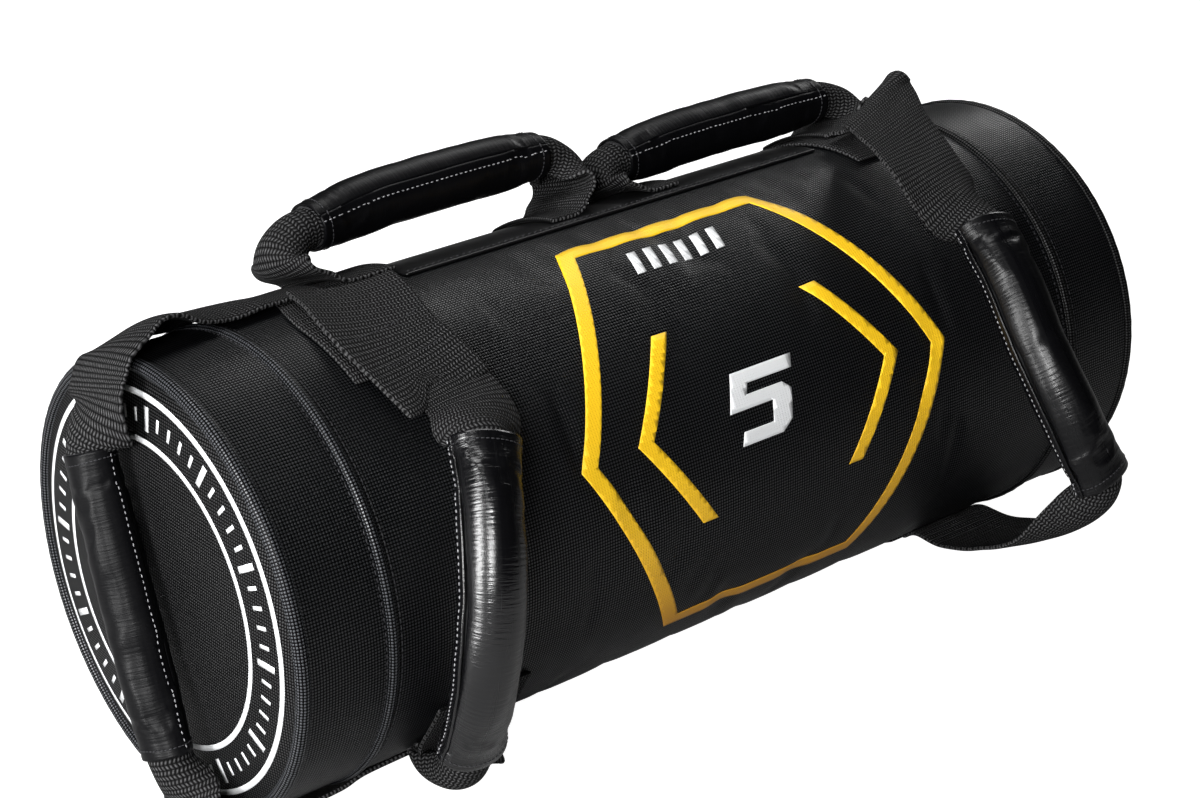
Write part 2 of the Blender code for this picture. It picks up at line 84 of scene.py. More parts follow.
# %% Places on the bag
bag_radius = 0.102
bag_length = 0.503
half_length = bag_length / 2
axis_height = 0.0985
spine_angle = 113
mm = 0.001


def out_of_bag(angle):
    """The direction straight out from the bag's axis."""
    turn = math.radians(angle)
    return Vector((0, -math.cos(turn), math.sin(turn)))


def round_bag(angle):
    """The direction round the bag, towards larger angles."""
    turn = math.radians(angle)
    return Vector((0, math.sin(turn), math.cos(turn)))


def on_bag(x, angle, radius=bag_radius, lowest=None):
    """A point at a place along the bag, an angle and a radius, kept above the floor where one is given."""
    point = Vector((x, 0, axis_height)) + out_of_bag(angle) * radius
    if lowest is not None:
        point.z = max(point.z, lowest)
    return point


def radius_of(point):
    """How far a point is from the bag's axis."""
    return math.hypot(point.y, point.z - axis_height)


def angle_of(point):
    return math.degrees(math.atan2(point.z - axis_height, -point.y))


def smooth_step(low, high, value):
    """Rises softly from 0 at low to 1 at high."""
    share = min(1, max(0, (value - low) / (high - low)))
    return share * share * (3 - 2 * share)


def hump(value, middle, width):
    """Rises softly to 1 at the middle, and falls off on both sides."""
    return math.exp(-(((value - middle) / width) ** 2))


print("the spine's highest point:", [round(v, 4) for v in on_bag(0, spine_angle)])

# %% [markdown]
# ## Cloth from a flat grid
#
# Canvas, webbing and leather are all cut flat. A grid from bpy.ops stands for the flat cut, and its points
# are then laid where the cloth goes. The grid's UV map keeps the flat cut in metres, so a weave can follow
# the cloth at its real scale. Modifiers are applied at once, because what rides on the bag has to be a
# finished mesh.

# %% Cloth helpers
meeting_edges_gap = 0.01 * mm


def deselect_all():
    if bpy.context.mode != "OBJECT":
        bpy.ops.object.mode_set(mode="OBJECT")
    bpy.ops.object.select_all(action="DESELECT")


def choose(piece):
    """Makes one piece the selected and active one, for the operators that follow."""
    deselect_all()
    piece.select_set(True)
    bpy.context.view_layer.objects.active = piece


def lay_cloth(name, cells_across, cells_along, flat_width, flat_length, place):
    """Lays a flat grid's points at place(across share, along share) and sews the edges that meet."""
    deselect_all()
    bpy.ops.mesh.primitive_grid_add(x_subdivisions=cells_across, y_subdivisions=cells_along, size=1)
    piece = bpy.context.active_object
    piece.name = name
    for vertex in piece.data.vertices:
        vertex.co = place(vertex.co.x + 0.5, vertex.co.y + 0.5)
    for corner in piece.data.uv_layers.active.data:
        corner.uv = (corner.uv.x * flat_width, corner.uv.y * flat_length)
    bpy.ops.object.mode_set(mode="EDIT")
    bpy.ops.mesh.select_all(action="SELECT")
    bpy.ops.mesh.remove_doubles(threshold=meeting_edges_gap)
    bpy.ops.object.mode_set(mode="OBJECT")
    return piece


def set_all(thing, **settings):
    for setting, value in settings.items():
        setattr(thing, setting, value)


def with_modifier(piece, kind, **settings):
    """Adds one modifier to a piece, sets it and applies it."""
    choose(piece)
    modifier = piece.modifiers.new(kind.lower(), kind)
    set_all(modifier, **settings)
    bpy.ops.object.modifier_apply(modifier=modifier.name)


def smoother(piece):
    with_modifier(piece, "SUBSURF", levels=1, render_levels=1)


def thickened(piece, thickness, offset=0):
    """Gives a sheet its thickness. An offset of 0 puts it on both sides, and -1 puts it all inside."""
    with_modifier(piece, "SOLIDIFY", thickness=thickness, offset=offset, use_even_offset=True)


def draw_uv(piece, flat_place):
    """Draws a piece's UV map from the places of its points."""
    layer = piece.data.uv_layers.active or piece.data.uv_layers.new(name="UVMap")
    for corner, loop in zip(layer.data, piece.data.loops):
        corner.uv = flat_place(piece.data.vertices[loop.vertex_index].co)


# %% [markdown]
# ## Materials: the small helpers
#
# Each finish is a Principled shader with its own nodes. What several of them share, such as a weave, is a
# node group that is built once and gives back only heights and masks. A few helpers keep the node code
# short.

# %% Node helpers
def set_inputs(tree, made, **inputs):
    """Sets or links a node's inputs, which are named, or numbered as in1, in2."""
    for key, value in inputs.items():
        socket = made.inputs[int(key[2:]) - 1] if key[:2] == "in" else made.inputs[key.replace("_", " ")]
        if isinstance(value, bpy.types.NodeSocket):
            tree.links.new(value, socket)
        else:
            socket.default_value = value
    return made


def add_node(tree, kind, operation=None, **inputs):
    made = tree.nodes.new(kind)
    if operation:
        made.operation = operation
    return set_inputs(tree, made, **inputs)


def math_node(tree, operation, first, second=0.0):
    return add_node(tree, "ShaderNodeMath", operation, in1=first, in2=second).outputs[0]


def wave_of(tree, turns):
    """A value that goes from 0 to 1 and back with each turn."""
    sine = math_node(tree, "SINE", math_node(tree, "MULTIPLY", turns, math.pi))
    return math_node(tree, "ABSOLUTE", sine)


def new_group(name, numbers, results):
    """A node group that takes a place on the flat cloth and some numbers, and the node of its results."""
    tree = bpy.data.node_groups.new(name, "ShaderNodeTree")
    tree.interface.new_socket("Vector", in_out="INPUT", socket_type="NodeSocketVector")
    for label in numbers:
        tree.interface.new_socket(label, in_out="INPUT", socket_type="NodeSocketFloat")
    for label in results:
        tree.interface.new_socket(label, in_out="OUTPUT", socket_type="NodeSocketFloat")
    print("group:", name)
    return tree, tree.nodes.new("NodeGroupInput").outputs, tree.nodes.new("NodeGroupOutput")


def place_group(tree, group, **inputs):
    made = tree.nodes.new("ShaderNodeGroup")
    made.node_tree = group
    return set_inputs(tree, made, **inputs).outputs


# %% [markdown]
# ## Woven and embossed surfaces
#
# The coated canvas is rolled with a fine grid of dots. The threads of the webbing run along it and zigzag:
# they lean one way in one row and the other way in the next. The leather of the grips has a fine grain, and
# soft creases across it where it bends. Each is a formula on the flat cloth, which keeps its scale on every
# piece.

# %% Canvas emboss group
tree, given, results = new_group("Canvas emboss", ("Pitch",), ("Height", "Cloud"))
flat = add_node(tree, "ShaderNodeSeparateXYZ", in1=given["Vector"]).outputs
waves = []
for direction in (0, 1):
    turns = math_node(tree, "DIVIDE", flat[direction], given["Pitch"])
    waves.append(wave_of(tree, turns))
crossed = math_node(tree, "MULTIPLY", waves[0], waves[1])
dots = add_node(tree, "ShaderNodeMapRange", Value=crossed, From_Min=0.30, From_Max=0.80)
dots.interpolation_type = "SMOOTHSTEP"
cloud = add_node(tree, "ShaderNodeTexNoise", in1=given["Vector"], Scale=30.0, Detail=2.0)
set_inputs(tree, results, Height=dots.outputs[0], Cloud=cloud.outputs[0])
canvas_emboss = tree

# %% Webbing weave group
tree, given, results = new_group("Webbing weave", ("Row", "Thread"), ("Height", "Fuzz"))
flat = add_node(tree, "ShaderNodeSeparateXYZ", in1=given["Vector"]).outputs
rows = math_node(tree, "DIVIDE", flat[1], given["Row"])
lean = math_node(tree, "MULTIPLY", math_node(tree, "PINGPONG", rows, 1.0), 0.5)
straight = math_node(tree, "DIVIDE", flat[0], given["Thread"])
threads = math_node(tree, "ADD", straight, lean)
thread_body = math_node(tree, "POWER", wave_of(tree, threads), 2.0)
row_body = math_node(tree, "POWER", wave_of(tree, rows), 0.9)
weave = math_node(tree, "MULTIPLY", thread_body, row_body)
fuzz = add_node(tree, "ShaderNodeTexNoise", in1=given["Vector"], Scale=900.0, Detail=2.0)
set_inputs(tree, results, Height=weave, Fuzz=fuzz.outputs[0])
webbing_weave = tree

# %% Leather crease group
tree, given, results = new_group("Leather crease", ("Across", "Along"), ("Creases", "Grain"))
stretch = add_node(tree, "ShaderNodeCombineXYZ", in1=given["Across"], in2=given["Along"], in3=1.0)
stretched = add_node(tree, "ShaderNodeVectorMath", "MULTIPLY", in1=given["Vector"], in2=stretch.outputs[0])
creases = add_node(tree, "ShaderNodeTexNoise", in1=stretched.outputs[0], Scale=1.0, Detail=6.0)
grain = add_node(tree, "ShaderNodeTexVoronoi", in1=given["Vector"], Scale=1500.0)
set_inputs(tree, results, Creases=creases.outputs[0], Grain=grain.outputs["Distance"])
leather_crease = tree

# %% [markdown]
# ## The finishes
#
# Black things differ in their gloss more than in their colour. The canvas is satin, the leather is glossy
# with long streaks, and the webbing is dull and a little grey. Colours that are the same all over stand on
# the shader's own socket, and only what changes over the surface comes through nodes.

# %% Finish helpers
def new_finish(name, colour, roughness, specular=0.5):
    """A material, its tree and its shader, and the flat cloth's coordinates from the UV map."""
    made = bpy.data.materials.new(name)
    made.use_nodes = True
    tree = made.node_tree
    shader = tree.nodes["Principled BSDF"]
    set_inputs(tree, shader, Base_Color=(*colour, 1), Roughness=roughness, Specular_IOR_Level=specular)
    return made, tree, shader, tree.nodes.new("ShaderNodeUVMap").outputs[0]


def spread_of(tree, mask, low, high, mask_low=0.3, mask_high=0.7):
    """Turns the middle part of a mask into values from low to high."""
    limits = {"From_Min": mask_low, "From_Max": mask_high, "To_Min": low, "To_Max": high}
    return add_node(tree, "ShaderNodeMapRange", Value=mask, **limits).outputs[0]


def two_colours(tree, mask, first, second):
    made = tree.nodes.new("ShaderNodeMix")
    made.data_type = "RGBA"
    return set_inputs(tree, made, in1=mask, in7=(*first, 1), in8=(*second, 1)).outputs[2]


def bumped(tree, height, depth, strength=1.0, under=None):
    """A bump of a real depth in metres, over another one if it is given."""
    made = add_node(tree, "ShaderNodeBump", Strength=strength, Distance=depth, Height=height)
    if under is not None:
        tree.links.new(under, made.inputs["Normal"])
    return made.outputs[0]


# %% Canvas
emboss_pitch = 1.45 * mm


# The dark colour lies in the gaps between the dots, as painted shade in the hollows of the emboss. The light
# colour lies on the dots.
def canvas_material(name, dark, light, roughs, depth):
    made, tree, shader, flat_cloth = new_finish(name, dark, roughs[0])
    emboss = place_group(tree, canvas_emboss, Vector=flat_cloth, Pitch=emboss_pitch)
    ripple = bumped(tree, emboss["Cloud"], 1.0 * mm, strength=0.3)
    set_inputs(
        tree, shader, Base_Color=two_colours(tree, emboss["Height"], dark, light),
        Specular_IOR_Level=math_node(tree, "ADD", math_node(tree, "MULTIPLY", emboss["Height"], 0.65), 0.05),
        Roughness=spread_of(tree, emboss["Cloud"], *roughs),
        Normal=bumped(tree, emboss["Height"], depth, under=ripple),
    )
    return made


canvas = canvas_material(
    "coated canvas", dark=(0.0006, 0.0007, 0.0008), light=(0.0085, 0.0092, 0.0110),
    roughs=(0.34, 0.42), depth=0.16 * mm,
)
# A shaded copy of the canvas, darker and duller, for the discs and the right end's piping and seam ridge.
# Its darker dots are painted shade.
end_canvas = canvas_material(
    "end canvas", dark=(0.0006, 0.0006, 0.0007), light=(0.0060, 0.0062, 0.0068),
    roughs=(0.44, 0.54), depth=0.14 * mm,
)
# A lit copy of the canvas for the left end's piping and seam ridge. Its far lighter dots are a painted
# highlight along the rim.
rim_canvas_with_painted_highlight = canvas_material(
    "rim canvas", dark=(0.0015, 0.0016, 0.0018), light=(0.050, 0.053, 0.060),
    roughs=(0.30, 0.40), depth=0.20 * mm,
)
print("canvas emboss:", emboss_pitch, "m")

# %% Webbing
row_length = 2.1 * mm
thread_width = 1.6 * mm
# The dark yarn colour is painted shade in the gaps between threads and rows. The light one is the yarn's
# grey on the threads' tops.
shaded_gap_yarn = (0.0010, 0.0010, 0.0011)
thread_top_yarn = (0.105, 0.105, 0.107)

webbing, tree, shader, flat_cloth = new_finish("webbing", shaded_gap_yarn, roughness=0.82, specular=0.08)
woven = place_group(tree, webbing_weave, Vector=flat_cloth, Row=row_length, Thread=thread_width)
# The threads' tops show the yarn's grey, and what lies low goes to the painted shade of the gaps.
thread_tops = math_node(tree, "POWER", woven["Height"], 1.3)
shade = math_node(tree, "MULTIPLY", thread_tops, math_node(tree, "MULTIPLY", woven["Fuzz"], 1.6))
fuzzy = bumped(tree, woven["Fuzz"], 0.12 * mm, strength=0.5)
set_inputs(
    tree, shader, Base_Color=two_colours(tree, shade, shaded_gap_yarn, thread_top_yarn),
    Normal=bumped(tree, woven["Height"], 0.6 * mm, under=fuzzy),
)
print("webbing row:", row_length, "m, thread:", thread_width, "m")

# %% Leather, vinyl and thread
def leather_material(name, specular, roughs, wrinkle):
    made, tree, shader, flat_cloth = new_finish(name, (0.0018, 0.0018, 0.0023), roughs[0], specular)
    creased = place_group(tree, leather_crease, Vector=flat_cloth, Across=70.0, Along=800.0)
    streaks = place_group(tree, leather_crease, Vector=flat_cloth, Across=420.0, Along=14.0)
    grained = bumped(tree, creased["Grain"], 0.04 * mm, strength=0.4)
    set_inputs(
        tree, shader, Roughness=spread_of(tree, streaks["Creases"], *roughs),
        Normal=bumped(tree, creased["Creases"], wrinkle, under=grained),
    )
    return made


def mottled_material(name, dark, light, roughness, scale, detail=4.0, specular=0.5, depth=0.3 * mm):
    """A finish whose colour wanders between two, with a grain where a depth is given."""
    made, tree, shader, _ = new_finish(name, dark, roughness, specular)
    place_now = tree.nodes.new("ShaderNodeTexCoord").outputs["Object"]
    cells = add_node(tree, "ShaderNodeTexNoise", in1=place_now, Scale=scale, Detail=detail).outputs[0]
    set_inputs(tree, shader, Base_Color=two_colours(tree, cells, dark, light))
    if depth:
        set_inputs(tree, shader, Normal=bumped(tree, cells, depth, strength=0.7))
    return made


grip_leather = leather_material("grip leather", 0.7, roughs=(0.18, 0.30), wrinkle=0.34 * mm)
worn_leather = leather_material("worn grip leather", 0.14, roughs=(0.32, 0.48), wrinkle=0.22 * mm)
dull_leather = leather_material("dull grip leather", 0.30, roughs=(0.22, 0.40), wrinkle=0.26 * mm)
leathers = {"left_side": grip_leather, "right_side": dull_leather}

smooth_vinyl, tree, shader, flat_cloth = new_finish("smooth vinyl", (0.0045, 0.0045, 0.005), roughness=0.33)
creased = place_group(tree, leather_crease, Vector=flat_cloth, Across=90.0, Along=60.0)
set_inputs(
    tree, shader, Roughness=spread_of(tree, creased["Creases"], 0.28, 0.42),
    Normal=bumped(tree, creased["Creases"], 0.5 * mm, strength=0.4),
)

thread_look = {"roughness": 0.6, "scale": 700.0, "detail": 2.0, "specular": 0.4, "depth": None}
grey_thread = mottled_material("grey thread", (0.10, 0.10, 0.11), (0.42, 0.42, 0.43), **thread_look)
black_thread = mottled_material("black thread", (0.006, 0.006, 0.007), (0.035, 0.035, 0.040), **thread_look)
print("leather, vinyl and thread are ready")


# %% [markdown]
# ## The barrel
#
# The barrel is one sheet of coated canvas, rolled into a tube and closed along the spine, so it is laid
# from a flat grid whose two long edges meet at the spine. It is flat where it rests on the floor, a little
# higher at the ends, where webbing runs under it.

# %% Barrel canvas
cap_depth = 0.0475
seam_gap = 0.0003
webbing_thickness = 0.0022
webbing_level = webbing_thickness + 2 * seam_gap
band_width = 0.058
left_band_x = -0.142
right_band_x = 0.166
barrel_half = half_length - cap_depth
bag_girth = 2 * math.pi * bag_radius
band_slope = 0.012
ends = ((-1, "left"), (1, "right"))


def floor_level(x):
    """The height of the bag's underside: on the floor in the middle, and on the webbing towards its ends."""
    left_edge = left_band_x + band_width / 2
    right_edge = right_band_x - band_width / 2
    to_the_left = smooth_step(left_edge + band_slope, left_edge, x)
    to_the_right = smooth_step(right_edge - band_slope, right_edge, x)
    return webbing_level * max(to_the_left, to_the_right)


def barrel_place(across, along):
    x = barrel_half * (2 * across - 1)
    return on_bag(x, spine_angle + 360 * along, bag_radius, floor_level(x))


barrel = lay_cloth("barrel_canvas", 82, 128, 2 * barrel_half, bag_girth, barrel_place)
print("barrel points:", len(barrel.data.vertices))

# %% [markdown]
# ## The end caps
#
# Each cap is a short wall and a round disc, joined by a piped rim. The wall is one more rolled strip. The
# disc is a grid whose one edge shrinks to the middle and whose sides meet, so that its points lie in rings:
# it crowns softly, because foam presses on it from inside.

# %% Cap walls and discs
welt_width = 0.0044
piping_radius = 0.0026
rim_x = half_length - piping_radius
rim_ring_radius = bag_radius + piping_radius / 4 - piping_radius
disc_radius = rim_ring_radius - piping_radius * 0.7
disc_edge_x = half_length - piping_radius / 2
disc_crown = 0.0042
cap_wall_from = barrel_half + welt_width * 0.6
cap_wall_to = rim_x - piping_radius * 0.4


def cap_wall(side, label):
    def place(across, along):
        reach = cap_wall_from + (cap_wall_to - cap_wall_from) * (across if side > 0 else 1 - across)
        return on_bag(side * reach, spine_angle + 360 * along, bag_radius, webbing_level)

    return lay_cloth(f"{label}_cap_wall_canvas", 12, 160, cap_wall_to - cap_wall_from, bag_girth, place)


def crown_height(radius):
    share = min(1, radius / disc_radius)
    return disc_crown * (1 - share ** 2.2)


def cap_disc(side, label):
    def place(across, along):
        radius = disc_radius * (1 - across if side > 0 else across)
        x = side * (disc_edge_x + crown_height(radius))
        return on_bag(x, spine_angle + 360 * along, radius, webbing_level)

    disc = lay_cloth(f"{label}_end_disc_canvas", 26, 120, disc_radius, bag_girth, place)
    draw_uv(disc, lambda point: point.yz)
    return disc


cap_walls = {label: cap_wall(side, label) for side, label in ends}
cap_discs = {label: cap_disc(side, label) for side, label in ends}
print("disc points:", len(cap_discs["left"].data.vertices))

# %% [markdown]
# ## The padded grips
#
# A grip is foam in a leather sleeve. The sleeve is a strip of leather wrapped round the foam and sewn along
# one side, so it is a grid wrapped round the handle's own line. That line is a smooth curve through a few
# points of the real handle.

# %% The line of a handle
def smooth_line(rows, step):
    """Points on a smooth curve through rows of numbers, about a step apart."""
    values = [Vector(row) for row in rows]
    longer = [2 * values[0] - values[1]] + values + [2 * values[-1] - values[-2]]
    found = []
    for before, here, there, after in zip(longer, longer[1:], longer[2:], longer[3:]):
        count = max(2, round((Vector(there[:3]) - Vector(here[:3])).length / step))
        for k in range(count):
            t = k / count
            bend = 2 * before - 5 * here + 4 * there - after
            twist = 3 * here - 3 * there + after - before
            found.append(here + ((there - before) * t + bend * t * t + twist * t * t * t) / 2)
    found.append(values[-1])
    return found


def frames_on(points, across):
    """For each point of a line: the directions along it, across it and out of it."""
    found = []
    for k, point in enumerate(points):
        along = (points[min(k + 1, len(points) - 1)] - points[max(k - 1, 0)]).normalized()
        side = (across - along * across.dot(along)).normalized()
        found.append((point, along, side, side.cross(along).normalized()))
    return found


def lengths_of(points):
    """The distance from the first point to each point, along the line."""
    found = [0.0]
    for before, here in zip(points, points[1:]):
        found.append(found[-1] + (here - before).length)
    return found


def between(frames, share):
    """The frame at a share of a line, between its two nearest points."""
    place = share * (len(frames) - 1)
    k = min(int(place), len(frames) - 2)
    part = place - k
    return [a.lerp(b, part) for a, b in zip(frames[k], frames[k + 1])]


# %% Sleeves
leather_thickness = 0.0012
hem_width = 5.5 * mm
hem_slope_from = 7 * mm
hem_rise = 0.5 * mm
hem_seam = 4.2 * mm
groove_depth = 0.5 * mm
groove_width = 0.9 * mm
lap_rise = 0.45 * mm
lap_edge_shares = (0.11, 0.07)
crumple_depth = 0.4 * mm
crumple_pace = 90
end_flattening_share = 0.10
sleeves = {}
sleeve_frames = {}
seam_turns = {}


def leather_sleeve(label, grip_points, across, radii, spread, seam_turn):
    """A leather sleeve round a grip's line, with a radius in its middle and one at its ends.

    It is sewn at seam_turn, which is in degrees, and has a folded hem at each end.
    """
    radius, end_radius = radii
    points = smooth_line(grip_points, 2 * mm)
    frames = frames_on(points, across)
    length = lengths_of(points)[-1]
    start = math.radians(seam_turn)

    def place(around, along):
        point, _, side, out = between(frames, along)
        from_middle = (2 * along - 1) ** 4
        from_end = min(along, 1 - along) * length
        hem = hem_rise * smooth_step(hem_slope_from, hem_width, from_end)
        groove = groove_depth * hump(from_end, hem_seam, groove_width)
        lap = lap_rise * smooth_step(*lap_edge_shares, around)
        crumple = crumple_depth * noise.noise(point * crumple_pace + out * around * 3)
        size = radius + (end_radius - radius) * from_middle + (hem - groove + lap + crumple)
        turn = start - 2 * math.pi * around
        flatter = 1 - end_flattening_share * from_middle
        wide = 1 + (spread - 1) * from_middle
        return point + side * (size * wide * math.cos(turn)) + out * (size * flatter * math.sin(turn))

    cells_along = max(40, round(length / (1.7 * mm)))
    girth = 2 * math.pi * radius
    sleeves[label] = lay_cloth(f"{label}_handle_leather", 42, cells_along, girth, length, place)
    sleeve_frames[label] = frames
    seam_turns[label] = seam_turn
    print(label, "grip:", round(length * 1000), "mm long")


# %% [markdown]
# ### The two handles along the spine
#
# Their webbing starts under the grip, runs out past the grip's end, turns back over itself and goes into
# the sleeve. The left one stands high, and daylight shows under it. The right one is slacker.

# %% Spine handle lines
seat_on_canvas = bag_radius + seam_gap + webbing_thickness / 2
seat_on_band = seat_on_canvas + webbing_thickness + seam_gap
seat_on_spine = seat_on_canvas + 1.8 * mm
grip_height_shares = ((0, 0.86), (0.26, 0.97), (0.55, 1), (0.8, 1), (1, 0.98))
spine_handles = {
    "left_top": {
        "x": (-0.137, -0.009), "rise": 0.0285, "seats": (seat_on_band, seat_on_spine),
        "turns": (0.024, 0.0185), "feet": (0.024, 0.017),
    },
    "right_top": {
        "x": (0.036, 0.166), "rise": 0.0170, "seats": (seat_on_spine, seat_on_band),
        "turns": (0.0185, 0.022), "feet": (0.017, 0.017),
    },
}
across_spine = round_bag(spine_angle)
grip_floor = bag_radius + 2.8 * mm
for label, about in spine_handles.items():
    x_from, x_to = about["x"]
    about["grip"] = [
        on_bag(x_from + (x_to - x_from) * u, spine_angle, grip_floor + about["rise"] * v)
        for u, v in grip_height_shares
    ]
    leather_sleeve(label, about["grip"], across_spine, (13.5 * mm, 12.0 * mm), spread=1.12, seam_turn=200)

# %% [markdown]
# ### The two handles across the front
#
# The left one has flopped to the left, and its grip is sewn under the wide webbing patch. The right one
# stands well off the bag: its webbing humps up over the top before it comes down to the grip, and returns
# under the bag.

# %% Front handle lines
side_grip_rows = {
    "left_side": (
        (-0.1524, 38, 121.0), (-0.1650, 25, 126.5), (-0.1737, 11, 128.5),
        (-0.1780, -6, 126.5), (-0.1719, -28, 122.0),
    ),
    "right_side": (
        (0.1574, 46, 118.5), (0.1504, 31, 126.2), (0.1470, 18, 135.0),
        (0.1512, 4, 149.2), (0.1622, -7, 162.2),
    ),
}
across_bag = Vector((1, 0, 0))
side_grips = {}
for label, rows in side_grip_rows.items():
    side_grips[label] = [on_bag(x, angle, radius * mm) for x, angle, radius in rows]
    leather_sleeve(label, side_grips[label], across_bag, (14.0 * mm, 12.6 * mm), spread=1.22, seam_turn=182)

# %% [markdown]
# ### The two handles across the ends
#
# Each lies close to its disc, in the same plane as the handles along the spine. The left one's webbing
# comes over the rim from the band. The right one's webbing is sewn on the disc itself.

# %% End handle lines
end_grip_half_length = 0.066
end_grip_stand_off = 0.0150
end_grip_tilt = 0.0035
disc_grip_half_length = 0.0544
disc_grip_stand_off = 0.0185
end_grips = {"left_end": [], "right_end": []}
for share in (1, 0.5, 0, -0.5, -1):
    left_x = half_length + end_grip_stand_off + end_grip_tilt * (1 - share) / 2
    end_grips["left_end"].append(on_bag(-left_x, spine_angle, end_grip_half_length * share))
    right_x = half_length + disc_grip_stand_off
    end_grips["right_end"].append(on_bag(right_x, spine_angle, disc_grip_half_length * share))
end_sleeves = (
    ("left_end", (11.6 * mm, 11.0 * mm), 1.15, 210),
    ("right_end", (11.4 * mm, 10.9 * mm), 1.10, 0),
)
for label, radii, spread, seam_turn in end_sleeves:
    leather_sleeve(label, end_grips[label], across_spine, radii, spread, seam_turn)

# %% [markdown]
# ## Filling the soft pieces
#
# Canvas over foam is never a perfect cylinder, and leather over foam creases. Blender's cloth finds that by
# itself: the pieces are pinned where they are sewn, a little pressure pushes them out from inside, and the
# cloth is let out by a few hundredths, so that the spare length buckles into soft wrinkles. All of them run
# together for 20 frames. Each point's move is then capped, outwards most of all, and what is left is a
# plain mesh.

# %% Cloth settings
last_frame = 20
band_hold = 4 * mm
barrel_seam_hold = 5 * mm
spine_hold_angle = 20
floor_hold = 6 * mm
wall_seam_hold = 3 * mm
disc_seam_hold = 5 * mm
sleeve_end_hold = 17 * mm
soft_pieces = []


def prepare_cloth(piece, most, sewn, pressure, let_out, bending):
    """Pins a piece where sewn(point) says and fills it. No point may move further than most."""
    group = piece.vertex_groups.new(name="sewn")
    for vertex in piece.data.vertices:
        group.add([vertex.index], 1.0 if sewn(vertex.co) else 0.0, "REPLACE")
    cloth = piece.modifiers.new("cloth", "CLOTH")
    set_all(
        cloth.settings, quality=6, mass=0.25, tension_stiffness=20, compression_stiffness=20,
        shear_stiffness=8, bending_stiffness=bending, vertex_group_mass="sewn", shrink_min=-let_out,
        use_pressure=True, uniform_pressure_force=pressure,
    )
    cloth.settings.effector_weights.gravity = 0
    cloth.collision_settings.use_collision = False
    set_all(cloth.point_cache, frame_start=1, frame_end=last_frame)
    soft_pieces.append((piece, most))


def barrel_sewn(point):
    """The barrel is held by the two bands, the spine panel and the seams of the caps, and by the floor."""
    under_band = any(abs(point.x - x) < band_width / 2 + band_hold for x in (left_band_x, right_band_x))
    at_seam = abs(point.x) > barrel_half - barrel_seam_hold
    at_spine = abs(angle_of(point) - spine_angle) < spine_hold_angle
    return under_band or at_seam or at_spine or point.z < floor_hold


def wall_sewn(point):
    from_seam = min(abs(point.x) - cap_wall_from, cap_wall_to - abs(point.x))
    return from_seam < wall_seam_hold or point.z < floor_hold


def disc_sewn(point):
    return radius_of(point) > disc_radius - disc_seam_hold


def sleeve_sewn(label):
    tips = (sleeve_frames[label][0][0], sleeve_frames[label][-1][0])
    return lambda point: min((point - tip).length for tip in tips) < sleeve_end_hold


# %% Filling
bulge = 0.25 * mm
prepare_cloth(barrel, 1.6 * mm, barrel_sewn, pressure=3.0, let_out=0.012, bending=0.6)
for _, label in ends:
    prepare_cloth(cap_walls[label], 1.8 * mm, wall_sewn, pressure=3.0, let_out=0.02, bending=0.4)
    prepare_cloth(cap_discs[label], 1.2 * mm, disc_sewn, pressure=1.5, let_out=0.01, bending=0.6)
for label, sleeve in sleeves.items():
    most = 0.8 * mm if "side" in label else 0.6 * mm
    prepare_cloth(sleeve, most, sleeve_sewn(label), pressure=2.0, let_out=0.05, bending=0.15)

flat_shapes = {}
for piece, _ in soft_pieces:
    flat_shapes[piece.name] = [(vertex.co.copy(), vertex.normal.copy()) for vertex in piece.data.vertices]
for number in range(1, last_frame + 1):
    bpy.context.scene.frame_set(number)
for piece, most in soft_pieces:
    choose(piece)
    bpy.ops.object.modifier_apply(modifier="cloth")
    shape = flat_shapes[piece.name]
    middle = sum((start for start, _ in shape), Vector()) / len(shape)
    outward = 1 if sum((start - middle).dot(normal) for start, normal in shape) > 0 else -1
    moved = 0.0
    for vertex, (start, normal) in zip(piece.data.vertices, shape):
        move = vertex.co - start
        if move.length > most:
            move *= most / move.length
        if piece not in cap_discs.values():
            move -= normal * outward * max(0, move.dot(normal) * outward - bulge)
        vertex.co = start + move
        moved = max(moved, move.length)
    print(piece.name, "moved up to", round(moved * 1000, 1), "mm")
bpy.context.scene.frame_set(1)

# %% [markdown]
# One level of subdivision rounds the filled meshes. The leather then gets its thickness inwards, so that
# the outside stays where the foam pushed it. Each piece rides on its body and hides the plain solid that it
# stands for.

# %% Barrel, caps and sleeves in place
def wear(piece, material):
    piece.data.materials.clear()
    piece.data.materials.append(material)


def finished(piece, material, slot, body=None, *nodes):
    """Gives a piece its finish. It moves with a body and stands for CAD nodes. Its slot is not used."""
    wear(piece, material)
    choose(piece)
    bpy.ops.object.shade_smooth()
    if body:
        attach(piece, body)
    if nodes:
        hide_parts(*nodes)
    return piece


def keep_clear(sleeve, pivot, limits, gap):
    """Pulls back the leather that would press into the canvas when its handle swings to a limit."""
    for vertex in sleeve.data.vertices:
        for limit in limits:
            swing = Matrix.Rotation(math.radians(limit), 3, "Z")
            point = swing @ (vertex.co - pivot) + pivot
            out = Vector((0, point.y, point.z - axis_height))
            missing = bag_radius + gap - out.length
            if missing > 0:
                vertex.co += swing.inverted() @ (out.normalized() * missing)


